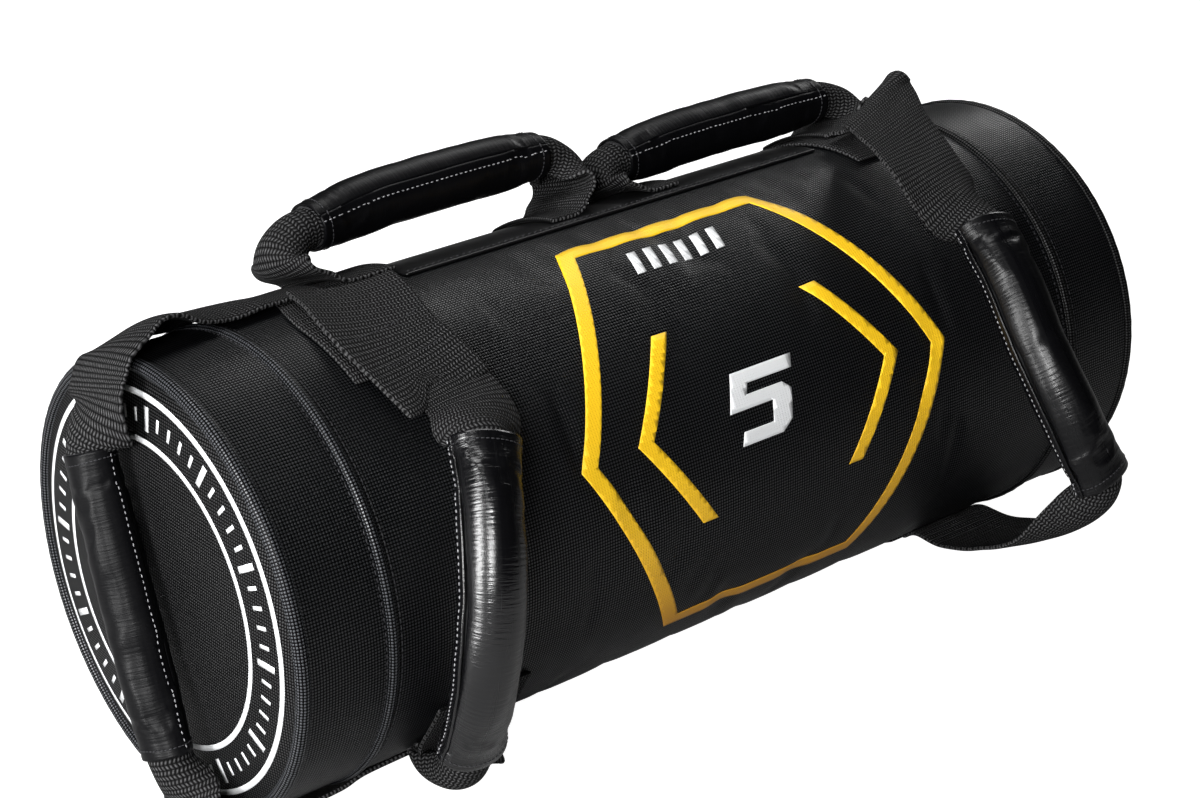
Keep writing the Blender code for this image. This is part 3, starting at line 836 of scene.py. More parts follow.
left_side_hinge = Vector((-0.142, -0.065, axis_height))
left_side_limits = (-12, 62)
keep_clear(sleeves["left_side"], left_side_hinge, left_side_limits, gap=1.1 * mm)
smoother(barrel)
finished(barrel, canvas, "pvc_canvas", "bag", "barrel_shell")
for _, label in ends:
    smoother(cap_walls[label])
    finished(cap_walls[label], canvas, "pvc_canvas", "bag", f"{label}_cap_wall")
    smoother(cap_discs[label])
    # The discs wear the darker canvas, as painted shade.
    finished(cap_discs[label], end_canvas, "end_canvas", "bag", f"{label}_end_disc")
for label, sleeve in sleeves.items():
    smoother(sleeve)
    thickened(sleeve, leather_thickness, -1)
    leather = leathers.get(label, worn_leather)
    finished(sleeve, leather, "grip_leather", f"{label}_handle", f"{label}_handle_sleeve")

# %% [markdown]
# ## The rim piping and the seam ridges
#
# A torus is the right start for a piped rim: a cord inside a folded strip. The ridge where the cap is sewn
# to the barrel is a flatter ring. Both are pressed flat where the bag lies on the floor, and small pleats
# ripple them. Their UV map is in metres round the bag, so that the canvas keeps its scale on them.

# %% Rings
pleat_depth = 0.10 * mm
pleats_round = 90


def ring(name, side, reach, ring_radius, thick, high):
    """A ring round the bag at a reach from its middle, thick along the bag and high out of it."""
    deselect_all()
    bpy.ops.mesh.primitive_torus_add(
        location=(0, 0, 0), rotation=(0, 0, 0), major_segments=160, minor_segments=14,
        major_radius=ring_radius, minor_radius=high, generate_uvs=True,
    )
    piece = bpy.context.active_object
    piece.name = name
    for vertex in piece.data.vertices:
        angle = math.degrees(math.atan2(vertex.co.y, vertex.co.x))
        radius = math.hypot(vertex.co.x, vertex.co.y)
        ripple = pleat_depth * math.sin(math.radians(angle) * pleats_round)
        x = side * (reach + vertex.co.z * thick / high)
        vertex.co = on_bag(x, angle, radius + ripple, webbing_level)
    bpy.ops.object.mode_set(mode="EDIT")
    bpy.ops.mesh.select_all(action="SELECT")
    bpy.ops.mesh.normals_make_consistent(inside=False)
    bpy.ops.object.mode_set(mode="OBJECT")
    for corner in piece.data.uv_layers.active.data:
        corner.uv = (corner.uv.y * 2 * math.pi * high, corner.uv.x * bag_girth)
    return piece


piping_size = {"thick": 1.3 * piping_radius, "high": 1.2 * piping_radius}
ridge_x = barrel_half + welt_width / 2
ridge_ring_radius = bag_radius - 0.2 * mm
ridge_size = {"thick": 2.4 * mm, "high": 2.1 * mm}
for side, label in ends:
    # The left end's rings get the lighter canvas as a painted highlight. The right end's rings get the
    # darker canvas as painted shade.
    strip_canvas_with_painted_light = rim_canvas_with_painted_highlight if side < 0 else end_canvas
    piping = ring(f"{label}_piping", side, rim_x, rim_ring_radius, **piping_size)
    finished(piping, strip_canvas_with_painted_light, "piping_vinyl", "bag", f"{label}_rim_piping")
    ridge = ring(f"{label}_seam_ridge", side, ridge_x, ridge_ring_radius, **ridge_size)
    finished(ridge, strip_canvas_with_painted_light, "piping_vinyl", "bag", f"{label}_cap_welt")
print("piping and seam ridges are in place")

# %% [markdown]
# ## The webbing round the bag
#
# Two wide bands of webbing run over the top, down the back and under the bag, open at the front where the
# print is. Webbing is 2 mm thick, and a subdivision rounds its woven edges. The handle in front has pulled
# the left band's front end towards the bag's left end.

# %% Bands
front_band_width = 0.050
widening_angles = (100, 150)
drift_angles = (118, 84)


def webbing_strip(name, cells_across, cells_along, width, length, place, node, body=None):
    strip = lay_cloth(name, cells_across, cells_along, width, length, place)
    thickened(strip, webbing_thickness)
    smoother(strip)
    return finished(strip, webbing, "webbing", body, node)


def band(label, middle, angle_from, angle_to, drift=0):
    """A band from one angle to another, whose front end has drifted along the bag."""
    length = math.radians(angle_to - angle_from) * seat_on_canvas

    def place(across, along):
        angle = angle_from + (angle_to - angle_from) * along
        width = front_band_width + (band_width - front_band_width) * smooth_step(*widening_angles, angle)
        x = middle + drift * smooth_step(*drift_angles, angle) + width * (across - 0.5)
        return on_bag(x, angle, seat_on_canvas, seam_gap + webbing_thickness / 2)

    cells_along = round(length / (4 * mm))
    name = f"{label}_band"
    webbing_strip(f"{name}_webbing", 14, cells_along, band_width, length, place, name, "bag")
    print(label, "band:", round(length * 1000), "mm long")


band("left", left_band_x, angle_from=62, angle_to=307.5, drift=-0.0155)
band("right", right_band_x, angle_from=82, angle_to=300)

# %% [markdown]
# ## The panel along the spine
#
# A strip of smooth vinyl covers the barrel's long seam between the two bands, sewn along both sides.

# %% Spine panel
spine_width = 0.060
spine_ends = (left_band_x + band_width / 2 + seam_gap, right_band_x - band_width / 2 - seam_gap)
spine_half_turn = math.degrees(spine_width / 2 / bag_radius)
spine_thickness = 0.0015
spine_seam_depth = 0.35 * mm
spine_seam_share = 0.9
spine_seam_width_share = 0.05


def spine_place(across, along):
    x = spine_ends[0] + (spine_ends[1] - spine_ends[0]) * across
    angle = spine_angle + spine_half_turn * (2 * along - 1)
    sewn_down = spine_seam_depth * hump(abs(2 * along - 1), spine_seam_share, spine_seam_width_share)
    return on_bag(x, angle, bag_radius + seam_gap + spine_thickness / 2 - sewn_down)


spine = lay_cloth("spine_vinyl", 60, 40, spine_ends[1] - spine_ends[0], spine_width, spine_place)
thickened(spine, spine_thickness)
smoother(spine)
finished(spine, smooth_vinyl, "smooth_vinyl", "bag", "spine_panel")
print("spine panel:", round((spine_ends[1] - spine_ends[0]) * 1000), "mm long")

# %% [markdown]
# ## The webbing of the handles
#
# A handle's webbing is flat where it is sewn to the bag. Towards the grip it curls up lengthwise, so that
# 50 mm of webbing goes into a sleeve half as wide. So each cross-section is an arc that keeps its 50 mm:
# nearly straight on the bag, and nearly a closed ring in the sleeve. Each handle has two such strips, one
# for each end. A strip crosses a joint, and it stays where it is laid, on no body.

# %% Handle webbing
strap_width = 0.050
curl_radius = 0.0082
curl_loosening_share = 0.15
wander_depth = 0.7 * mm
wander_pace = 60


def strap(name, rows, across, crown, node, body=None):
    """A strip along rows of (point, curl, wrap, twist, slant, squeeze), where last zeros may be left out.

    Crown is 1 or -1, the face that stays out. A curl of 1 rolls the strip up for the sleeve. A wrap of 1
    bends it round the bag, and more makes its edges droop. Twist and slant are degrees: twist lifts one
    edge, and slant holds one edge back. Squeeze is a share of the width that is lost in gathers.
    """
    stations = smooth_line([(*row[0], *row[1:], *(0,) * (6 - len(row))) for row in rows], 2.4 * mm)
    points = [Vector(station[:3]) for station in stations]
    frames = [(*here, station) for here, station in zip(frames_on(points, across), stations)]
    length = lengths_of(points)[-1]

    def place(share_across, along):
        point, direction, side, out, station = between(frames, along)
        curl, wrap = min(1, max(0, station[3])), max(0, station[4])
        slant = math.tan(math.radians(station[6]))
        turned = Matrix.Rotation(math.radians(station[5]), 3, direction)
        side, out = turned @ side, turned @ out
        curve = crown * curl / curl_radius + wrap / radius_of(point)
        offset = strap_width * (share_across - 0.5)
        shift = crown * curl_radius * curl
        if abs(curve) < 0.01:
            wide, deep = offset, 0.0
        else:
            wide = math.sin(curve * offset) / curve
            deep = (1 - math.cos(curve * offset)) / curve
        wander = noise.noise(Vector((share_across * 3, along * length * wander_pace, len(name))))
        loose = wander_depth * wander * max(0, 1 - wrap)
        spot = point + side * (wide * (1 + curl_loosening_share * curl) * (1 - station[7]))
        spot = spot + direction * (-wide * slant) + out * (shift - deep + loose)
        spot.z = max(spot.z, seam_gap + webbing_thickness / 2)
        return spot

    cells_along = max(12, round(length / (2.6 * mm)))
    return webbing_strip(name, 22, cells_along, strap_width, length, place, node, body)


def handle_strap(label, letter, rows, across, crown, start, end):
    """A strap that crosses a joint, laid where it is, on no body. Its start and end are not used."""
    strip = strap(f"{label}_handle_webbing_{letter}", rows, across, crown, f"{label}_handle_strap")
    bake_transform(strip)
    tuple(start)
    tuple(end)


def grip_inside(points, share=0.45):
    """The last two rows of a strap, rolled up in the sleeve."""
    return [(points[0], 1), (points[0].lerp(points[1], share), 1)]


# %% [markdown]
# A second layer of webbing, a patch, lies on the left band and carries the front handle's upper end. Its
# lower edge is cut in a notch, and its corner beside the notch stands off the bag.

# %% Patch over the left band
patch_rows = [(on_bag(x, angle, seat_on_band + lift * mm), 0, 1) for x, angle, lift in (
    (-0.1465, 97.5, 0), (-0.1505, 88.0, 0), (-0.1550, 78.0, 0),
    (-0.1560, 70.0, 0), (-0.1535, 61.0, 0), (-0.1500, 51.0, 0.8),
)]
patch = strap("left_band_patch_webbing", patch_rows, across_bag, -1, "left_band_patch", "bag")
patch_edge = -0.176
patch_width = 0.052
notch_angle = 4.6
lobe_angle = 0.8
lobe_lift = 2.2 * mm
for vertex in patch.data.vertices:
    angle = angle_of(vertex.co)
    share = (vertex.co.x - patch_edge) / patch_width
    low = smooth_step(60, 51, angle)
    lobe = low * hump(share, 0.14, 0.16)
    notch = low * hump(share, 0.42, 0.12)
    angle += notch_angle * notch - lobe_angle * lobe
    vertex.co = on_bag(vertex.co.x, angle, radius_of(vertex.co) + lobe_lift * lobe)

# %% Webbing of the spine handles
turn_rows = (
    (0.30, 0.14, 0.02, 0.7), (0.76, 0.26, 0.10, 0.35), (1, 0.5, 0.30, 0.1), (0.86, 0.76, 0.60, 0),
    (0.42, 0.95, 0.88, 0),
)


def spine_strap(label, end_number):
    """One end of a spine handle's webbing: the foot under the grip, the turn over it, and the sleeve."""
    about = spine_handles[label]
    outward = -1 if end_number == 0 else 1
    grip_end = about["x"][end_number]
    seat = about["seats"][end_number]
    grip = about["grip"][::-outward]
    grip_radius = (grip[0] - Vector((grip[0].x, 0, axis_height))).length
    foot_x = grip_end - outward * about["feet"][end_number]
    rows = [(on_bag(x, spine_angle, seat), 0, 1) for x in (foot_x, grip_end)]
    for out, rise, curl, wrap in turn_rows:
        x = grip_end + outward * about["turns"][end_number] * out
        rows.append((on_bag(x, spine_angle, seat + (grip_radius - seat) * rise), curl, wrap))
    rows += grip_inside(grip, 0.4)
    start = on_bag(grip_end, spine_angle, seat + 2 * mm)
    end = on_bag(grip_end, spine_angle, grip_radius - 2 * mm)
    handle_strap(label, "ab"[end_number], rows, across_spine * -outward, -1, start, end)


for label in spine_handles:
    for end_number in (0, 1):
        spine_strap(label, end_number)

# %% Webbing of the front handles
side_straps = (
    ("left_side", "a", -1, ((-0.146, 52, 106), (-0.152, 40, 119)), (
        (-0.1490, 62.0, 105.9, 0, 0, 0, 0, 0.16), (-0.1460, 55.0, 106.3, 0, 0, 0, 0, 0.20),
        (-0.1448, 50.0, 109.0, 0.03, 0, 0, 0, 0.22), (-0.1452, 46.0, 113.2, 0.12, 0, 0, 0, 0.22),
        (-0.1484, 42.0, 117.8, 0.36, 0, 0, 0, 0.16),
    )),
    ("left_side", "b", 1, ((-0.155, -44, 106), (-0.166, -40, 120)), (
        (-0.1535, -25.0, 103.4), (-0.1535, -36.0, 103.4), (-0.1550, -43.5, 105.5, 0.05),
        (-0.1580, -47.5, 110.0, 0.20), (-0.1630, -46.5, 117.0, 0.50), (-0.1680, -40.0, 122.0, 0.80),
        (-0.1705, -34.0, 122.6, 0.95),
    )),
    ("right_side", "a", -1, ((0.166, 97, 107), (0.158, 50, 118)), (
        (0.1645, 98.8, 105.9), (0.1655, 97.2, 108.0, 0, 0, 8), (0.1670, 95.4, 114.5, 0, 0, 20, -8),
        (0.1678, 93.8, 120.6, 0, 0, 26, -4), (0.1674, 92.1, 123.4, 0, 0, 24, 12, 0.02),
        (0.1655, 89.8, 124.2, 0, 0, 12, 34, 0.05), (0.1615, 86.0, 123.8, 0, 0, 3, 44, 0.08),
        (0.1530, 77.1, 122.8, 0, 0, -2, 32, 0.10), (0.1478, 65.9, 121.2, 0, 0, -2, 10, 0.10),
        (0.1496, 57.0, 119.4, 0.14, 0, 2, -2, 0.12), (0.1540, 51.0, 118.4, 0.48, 0, 0, 0, 0.12),
    )),
    ("right_side", "b", 1, ((0.166, -50, 106), (0.163, -15, 160)), (
        (0.166, -58.0, 103.4), (0.166, -52.0, 104.5), (0.165, -44.0, 117.0, 0.02),
        (0.164, -34.0, 131.0, 0.06), (0.163, -24.0, 147.0, 0.15), (0.162, -14.5, 160.0, 0.55),
    )),
)
for label, letter, crown, blend_places, places in side_straps:
    rows = [(on_bag(x, angle, radius * mm), *rest) for x, angle, radius, *rest in places]
    rows += grip_inside(side_grips[label] if letter == "a" else side_grips[label][::-1])
    start, end = (on_bag(x, angle, radius * mm) for x, angle, radius in blend_places)
    handle_strap(label, letter, rows, across_bag, crown, start, end)

# %% Webbing of the left end's handle
left_edge = abs(left_band_x) + band_width / 2
spine_out = out_of_bag(spine_angle)


def off_end(x, up, back):
    """A point near an end, from its place up the spine's plane and its distance behind that plane."""
    return Vector((x, 0, axis_height)) + spine_out * up + across_spine * back


upper_end = [(on_bag(-x * mm, angle, radius * mm), 0, wrap, twist) for x, angle, radius, wrap, twist in (
    (154.0, 112.6, 105.9, 1, 0), (172.0, 111.8, 106.0, 1, 0), (186.0, 110.9, 107.4, 1.4, 0),
    (199.0, 109.9, 108.4, 2.2, 0), (209.0, 109.1, 109.0, 2.2, 0), (220.0, 108.2, 109.8, 1.8, 1.5),
    (229.0, 107.5, 110.9, 1.2, 7), (237.0, 106.9, 110.5, 1.0, 8), (245.0, 106.3, 108.2, 1.0, 4),
    (252.2, 105.7, 105.7, 1, 0.5),
)]
upper_end += [(off_end(-x * mm, up * mm, back * mm), curl, wrap) for x, up, back, curl, wrap in (
    (256.6, 101.5, -12.8, 0, 0.7), (259.8, 94.5, -11.8, 0, 0.3), (263.5, 86.5, -10.9, 0.04, 0),
    (266.2, 79.0, -8.5, 0.28, 0), (266.6, 72.5, -3.5, 0.7, 0),
)]
lower_end = [(off_end(-x * mm, -down * mm, 0), curl, wrap) for x, down, curl, wrap in (
    (154.0, 103.4, 0, 1), (172.0, 103.4, 0, 1), (196.0, 104.0, 0, 1), (206.0, 105.9, 0, 1),
    (224.0, 106.6, 0, 1), (244.0, 106.6, 0, 1), (252.0, 106.0, 0, 0.8), (259.0, 103.0, 0, 0.5),
    (266.0, 96.5, 0.04, 0.2), (270.0, 86.0, 0.25, 0), (270.6, 76.5, 0.7, 0),
)]
for letter, rows, up in (("a", upper_end, 1), ("b", lower_end, -1)):
    rows += grip_inside(end_grips["left_end"][::up])
    start = on_bag(-left_edge, spine_angle, up * seat_on_band)
    end = on_bag(-half_length - 0.012, spine_angle, up * 0.090)
    handle_strap("left_end", letter, rows, across_spine * up, 1, start, end)

# %% Webbing of the right end's handle
disc_rows = (
    (87.9, 0, 0), (82.5, 0, 0), (77.5, 0.8, 0.02), (72.0, 4.5, 0.12), (66.5, 10.5, 0.45), (60.5, 15.5, 0.85)
)
for letter, up in (("a", 1), ("b", -1)):
    rows = []
    for reach, rise, curl in disc_rows:
        flat_x = disc_edge_x + crown_height(reach * mm) + seam_gap + webbing_thickness / 2
        rows.append((on_bag(flat_x + rise * mm, spine_angle, up * reach * mm), curl))
    rows += grip_inside(end_grips["right_end"][::up])
    start = on_bag(disc_edge_x, spine_angle, up * 0.078)
    end = on_bag(half_length + disc_grip_stand_off, spine_angle, up * 0.060)
    handle_strap("right_end", letter, rows, -across_spine * up, 1, start, end)

# %% [markdown]
# ## The print
#
# Puffed ink is printed on the canvas: a yellow outline round a plain figure, with slanted white bars above
# it. Each shape is a polygon in the flat, and the outline is inset by the line's width. Cuts then let it
# bend, it is rolled on to the bag, and each of its points is pressed straight in, along a ray, on the
# filled canvas.

# %% Print finishes
def film_with_painted_shade(name, first, second, low_z, high_z):
    """A film whose colour runs from first at the lower edge to second, darker below as painted shade, with
    the canvas' dots under it.
    """
    made, tree, shader, flat_cloth = new_finish(name, second, 0.5)
    place_now = tree.nodes.new("ShaderNodeTexCoord").outputs["Object"]
    height = add_node(tree, "ShaderNodeSeparateXYZ", in1=place_now).outputs[2]
    rise = spread_of(tree, height, 0.0, 1.0, low_z, high_z)
    emboss = place_group(tree, canvas_emboss, Vector=flat_cloth, Pitch=emboss_pitch)
    set_inputs(
        tree, shader, Base_Color=two_colours(tree, rise, first, second),
        Normal=bumped(tree, emboss["Height"], 0.10 * mm, strength=0.8),
    )
    return made


# Both films darken towards the floor, the yellow to brown-orange and the white to grey. This is painted
# shade on the lower part of the bag.
yellow_film = film_with_painted_shade("yellow film", (0.52, 0.24, 0.012), (1.0, 0.60, 0.012), low_z=0.045, high_z=0.13)
white_film = film_with_painted_shade("white film", (0.66, 0.67, 0.68), (0.80, 0.81, 0.82), low_z=0.05, high_z=0.15)

# %% Film shapes
print_middle_angle = 25.0
film_thickness = 0.09 * mm
film_lift = 1.3 * film_thickness
strip_width = 2.6 * mm
ray_start = 8 * mm


def flat_shape(name, corners, line=None):
    """A flat polygon through corners in mm, or only its outline, a line wide."""
    deselect_all()
    bpy.ops.mesh.primitive_circle_add(vertices=len(corners), radius=1, fill_type="NGON", calc_uvs=True)
    piece = bpy.context.active_object
    piece.name = name
    for vertex, corner in zip(piece.data.vertices, corners):
        vertex.co = (corner[0] * mm, corner[1] * mm, 0)
    bpy.ops.object.mode_set(mode="EDIT")
    bpy.ops.mesh.select_all(action="SELECT")
    bpy.ops.mesh.normals_make_consistent(inside=False)
    if line:
        bpy.ops.mesh.inset(thickness=line * mm, use_even_offset=True)
        bpy.ops.mesh.delete(type="FACE")
    bpy.ops.object.mode_set(mode="OBJECT")
    return piece


def cut_in_strips(piece):
    """Cuts a flat shape in narrow strips both ways, so that it can bend."""
    choose(piece)
    corners = [vertex.co.copy() for vertex in piece.data.vertices]
    bpy.ops.object.mode_set(mode="EDIT")
    for direction, normal in ((0, Vector((1, 0, 0))), (1, Vector((0, 1, 0)))):
        low = min(corner[direction] for corner in corners)
        high = max(corner[direction] for corner in corners)
        for k in range(int((high - low) / strip_width)):
            bpy.ops.mesh.select_all(action="SELECT")
            bpy.ops.mesh.bisect(plane_co=normal * (low + strip_width * (k + 0.5)), plane_no=normal)
    bpy.ops.object.mode_set(mode="OBJECT")


def press_on(piece, carrier, film, place, inward, slot):
    """Rolls a flat shape on to a surface and presses it, straight in, on what carries it."""
    draw_uv(piece, lambda point: point.xy)
    for vertex in piece.data.vertices:
        start = place(vertex.co.x, vertex.co.y)
        way = inward(start)
        hit, spot, _, _ = carrier.ray_cast(start - way * ray_start, way)
        vertex.co = spot - way * film_lift if hit else start
    thickened(piece, film_thickness)
    finished(piece, film, slot, "bag")


# %% [markdown]
# The front's shapes are given as (along the bag, up it) in mm from the middle of the print.

# %% Print on the front
figure_width_share = 1.12
figure_height_share = 0.78
figure_shift = 2 * mm


def on_front(x, up):
    return on_bag(x, print_middle_angle + math.degrees(up / bag_radius), bag_radius + 1 * mm)


def figure_on_front(x, up):
    """The figure is drawn narrow and tall, and printed wider and lower."""
    return on_front(x * figure_width_share + figure_shift, up * figure_height_share)


def to_axis(point):
    return Vector((0, -point.y, axis_height - point.z)).normalized()


yellow_shapes = {
    "print_outline": ((-100, -2), (-46, 106), (70, 106), (122, -2), (70, -104), (-46, -104)),
    "print_chevron_left": ((-38, 44), (-68, 0), (-38, -44), (-29, -44), (-59, 0), (-29, 44)),
    "print_chevron_right": ((52, 44), (82, 0), (52, -44), (61, -44), (91, 0), (61, 44)),
}
white_shapes = {
    "print_figure": (
        (-12, -21), (10, -21), (16, -15), (19, 2), (15, 7), (-4, 7), (-2, 13), (22, 13), (24, 21), (-9, 21),
        (-15, -1), (-11, -1), (8, -1), (6, -13), (-10, -13),
    ),
}
for k in range(6):
    low_x = -22 + 9.5 * k
    white_shapes[f"print_bar_{k}"] = ((low_x, 76), (low_x + 5, 76), (low_x + 9, 90), (low_x + 4, 90))
for film, shapes in ((yellow_film, yellow_shapes), (white_film, white_shapes)):
    for name, corners in shapes.items():
        shape = flat_shape(name, corners, 8 if name == "print_outline" else None)
        cut_in_strips(shape)
        place = figure_on_front if name == "print_figure" else on_front
        press_on(shape, barrel, film, place, to_axis, "pvc_canvas")
print("print pressed on")

# %% [markdown]
# The end disc has two white rings with a scale of plain ticks between them, as on a dial.

# %% Rings and ticks on the ends
def circle_corners(radius):
    turns = [math.radians(2.5 * k) for k in range(144)]
    return [(radius * math.cos(turn), radius * math.sin(turn)) for turn in turns]


def tick_corners(k):
    """A tick of the scale, longer and wider at each fifth one, turned to its place."""
    half, low, high = (1.5, 74.5, 85.5) if k % 5 == 0 else (0.9, 77, 83)
    cos, sin = math.cos(math.radians(6 * k)), math.sin(math.radians(6 * k))
    corners = ((-half, low), (half, low), (half, high), (-half, high))
    return [(a * cos - b * sin, a * sin + b * cos) for a, b in corners]


def print_end(side, label):
    """Presses two rings and the scale between them on an end's disc."""

    def on_end(a, b):
        """A place on the end: a to the right and b up, as someone who faces it sees it."""
        reach = disc_edge_x + crown_height(math.hypot(a, b)) + 1 * mm
        return Vector((side * reach, side * a, axis_height + b))

    outer_ring = flat_shape(f"{label}_end_ring_outer", circle_corners(91.1), line=2.6)
    inner_ring = flat_shape(f"{label}_end_ring_inner", circle_corners(70.7), line=2.5)
    ticks = [flat_shape(f"{label}_tick_{k}", tick_corners(k)) for k in range(60)]
    choose(ticks[0])
    for tick in ticks:
        tick.select_set(True)
    bpy.ops.object.join()
    ticks[0].name = f"{label}_end_ticks"
    for piece in (outer_ring, inner_ring, ticks[0]):
        inward = Vector((-side, 0, 0))
        press_on(piece, cap_discs[label], white_film, on_end, lambda point: inward, "end_canvas")


for side, label in ends:
    print_end(side, label)
print("end rings and ticks pressed on")

# %% [markdown]
# ## Sewing
#
# One stitch is modelled once, a small rounded grain of thread, and copied along each seam. A stitch finds
# the surface that carries it, and lies along the seam.

# %% One stitch
deselect_all()
bpy.ops.mesh.primitive_uv_sphere_add(segments=6, ring_count=4, radius=0.5)
stitch_pattern = bpy.context.active_object
stitch_pattern.name = "stitch_pattern"
stitch_lift_share = 0.12


def sew(name, carrier, line, pitch, body, thread, slot, long_share=0.72, width=0.55 * mm):
    """Copies the stitch along a line. Each copy lies on the carrier's surface, turned along the line."""
    marks = lengths_of(line)
    shape = bmesh.new()
    for k in range(int(marks[-1] / pitch)):
        wanted = (k + 0.5) * pitch
        j = max(i for i, mark in enumerate(marks[:-1]) if mark <= wanted)
        part = (wanted - marks[j]) / max(1e-9, marks[j + 1] - marks[j])
        middle = line[j].lerp(line[j + 1], part)
        along = (line[j + 1] - line[j]).normalized()
        hit, spot, out, _ = carrier.closest_point_on_mesh(middle)
        along = (along - out * along.dot(out)).normalized()
        turned = Matrix((along, out.cross(along), out)).transposed().to_4x4()
        size = Matrix.Diagonal((pitch * long_share, width, width, 1))
        grain = stitch_pattern.data.copy()
        grain.transform(Matrix.Translation(spot + out * width * stitch_lift_share) @ turned @ size)
        shape.from_mesh(grain)
        bpy.data.meshes.remove(grain)
    mesh = bpy.data.meshes.new(name)
    shape.to_mesh(mesh)
    shape.free()
    row = bpy.data.objects.new(name, mesh)
    bpy.context.scene.collection.objects.link(row)
    finished(row, thread, slot, body)


def sew_round(name, carrier, x, pitch, slot):
    line = [on_bag(x, angle, bag_radius + 2 * mm) for angle in range(-62, 243, 3)]
    sew(name, carrier, line, pitch, "bag", black_thread, slot)


round_pitch = 3.4 * mm
for side, label in ends:
    barrel_seam_x = side * (barrel_half - 2.2 * mm)
    sew_round(f"{label}_barrel_stitches", barrel, barrel_seam_x, round_pitch, "pvc_canvas")
    cap_seam_x = side * (cap_wall_from + 3.0 * mm)
    sew_round(f"{label}_cap_stitches", cap_walls[label], cap_seam_x, round_pitch, "pvc_canvas")
for edge, label in ((-1, "front"), (1, "back")):
    angle = spine_angle + edge * (spine_half_turn - 1.8)
    line = [on_bag(spine_ends[0] + 0.002 + 0.005 * k, angle, bag_radius + 3 * mm) for k in range(49)]
    sew(f"spine_stitches_{label}", spine, line, round_pitch, "bag", black_thread, "smooth_vinyl")
for label, first, last in (("a", (-0.1745, 72.2), (-0.1335, 75.6)), ("b", (-0.1680, 62.3), (-0.1350, 65.4))):
    places = [Vector(first).lerp(Vector(last), k / 12) for k in range(13)]
    line = [on_bag(x, angle, 0.110) for x, angle in places]
    sew(
        f"patch_stitches_{label}", patch, line, 3.0 * mm, "bag", black_thread, "webbing",
        long_share=0.95, width=0.6 * mm,
    )
print("canvas is sewn")

# %% Grip stitches
grip_pitch = 2.7 * mm


def off_grip(here, turn, distance):
    """A point at a distance from a grip's line, turned round it by some degrees."""
    point, _, side, out = here
    turn = math.radians(turn)
    return point + side * (distance * math.cos(turn)) + out * (distance * math.sin(turn))


for label, sleeve in sleeves.items():
    frames = sleeve_frames[label]
    body = f"{label}_handle"
    line = [off_grip(here, seam_turns[label] - 16, 18 * mm) for here in frames]
    sew(
        f"{label}_seam_stitches", sleeve, line, grip_pitch, body, grey_thread, "grip_leather",
        long_share=0.62, width=0.6 * mm,
    )
    length = lengths_of([here[0] for here in frames])[-1]
    for letter, share in (("a", hem_seam / length), ("b", (length - hem_seam) / length)):
        here = between(frames, share)
        line = [off_grip(here, turn, 17 * mm) for turn in range(0, 361, 12)]
        sew(f"{label}_hem_stitches_{letter}", sleeve, line, grip_pitch, body, black_thread, "grip_leather")
bpy.data.objects.remove(stitch_pattern)
print("grips are sewn")

# %% [markdown]
# ## What stays inside
#
# The foam, the sand and its pouch lie inside the bag and stay as packed. They get finishes too, for anyone
# who opens the bag.

# %% Inner finishes
foam_names = ("foam_wrap_inner", "foam_wrap_outer", "left_end_pad", "right_end_pad")
core_names = [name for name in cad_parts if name.endswith("_core")]
inner_finishes = (
    (foam_names, "foam", (0.24, 0.25, 0.27), (0.38, 0.39, 0.41), 0.9, 900.0),
    (core_names, "grip foam", (0.008, 0.008, 0.009), (0.03, 0.03, 0.032), 0.9, 900.0),
    (("sand_pouch",), "pouch nylon", (0.07, 0.10, 0.16), (0.13, 0.16, 0.24), 0.6, 1200.0),
    (("sand_fill",), "sand", (0.36, 0.26, 0.15), (0.70, 0.57, 0.38), 0.95, 1600.0),
    (("pouch_tie",), "tie plastic", (0.78, 0.78, 0.76), (0.88, 0.88, 0.86), 0.45, 200.0),
)
for names, *look in inner_finishes:
    material = mottled_material(*look)
    for name in names:
        wear(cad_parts[name], material)

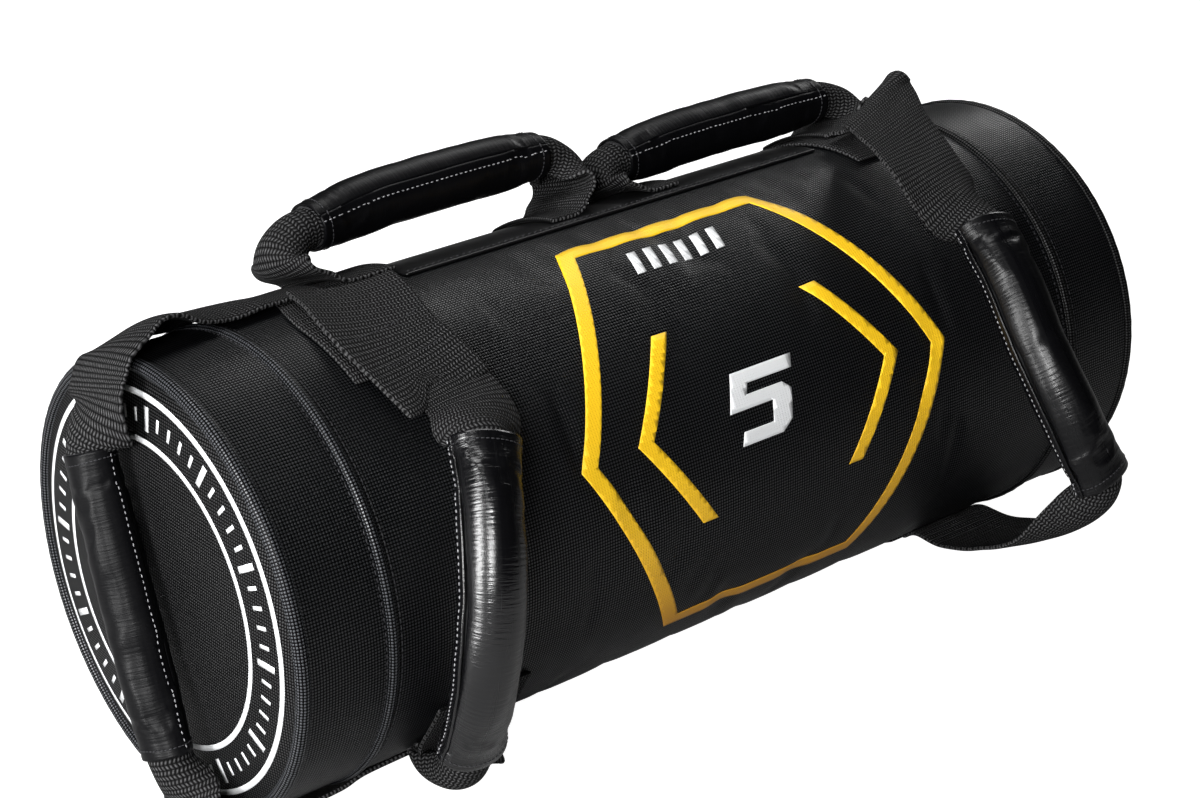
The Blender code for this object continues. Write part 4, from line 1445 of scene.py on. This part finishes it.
# %% [markdown]
# ## The studio
#
# A plain pale floor and soft lamps. Black things show the lamps that they mirror and little else, so the
# surroundings are dim for all but the camera. One lamp behind on the right gives the far end its sheen, a
# small one brings out the near cap's top, a tall one on the left draws the long streaks on the grips, and
# one in front lights the print.

# %% Floor, lamps and world
deselect_all()
bpy.ops.mesh.primitive_plane_add(size=14, location=(0, 0, 0))
floor = bpy.context.active_object
floor.name = "floor"
floor_material, tree, shader, _ = new_finish("pale floor", (0.42, 0.42, 0.42), roughness=1.0, specular=0.0)
camera_ray = tree.nodes.new("ShaderNodeLightPath").outputs["Is Camera Ray"]
set_inputs(tree, shader, Emission_Color=(1, 1, 1, 1), Emission_Strength=camera_ray)
floor.data.materials.append(floor_material)


def lamp(name, place, aim, size, power):
    bpy.ops.object.light_add(type="AREA", location=place)
    made = bpy.context.active_object
    made.name = name
    made.data.shape = "RECTANGLE"
    made.data.size, made.data.size_y = size
    made.data.energy = power
    made.rotation_mode = "QUATERNION"
    made.rotation_quaternion = (Vector(aim) - Vector(place)).to_track_quat("-Z", "Y")


lamp("back_right_lamp", (1.15, 0.55, 0.80), (0.15, 0, 0.12), (0.45, 0.40), 3.2)
lamp("top_lamp", (-0.35, 0.45, 1.75), (0, 0, 0.1), (0.7, 0.5), 10)
lamp("front_lamp", (-1.60, -1.30, 1.00), (0, 0, 0.1), (0.6, 0.6), 44)
lamp("left_lamp", (-1.52, -0.08, 0.46), (-0.15, -0.05, 0.1), (0.42, 1.3), 36)
lamp("cap_lamp", (0.24, 0.36, 0.70), (-0.22, -0.02, 0.19), (0.26, 0.26), 0.9)

world = bpy.data.worlds.new("white surroundings")
bpy.context.scene.world = world
world.use_nodes = True
tree = world.node_tree
camera_ray = tree.nodes.new("ShaderNodeLightPath").outputs["Is Camera Ray"]
level = math_node(tree, "ADD", math_node(tree, "MULTIPLY", camera_ray, 0.985), 0.015)
set_inputs(tree, tree.nodes["Background"], Color=(1, 1, 1, 1), Strength=level)
bpy.context.scene.view_settings.view_transform = "Standard"
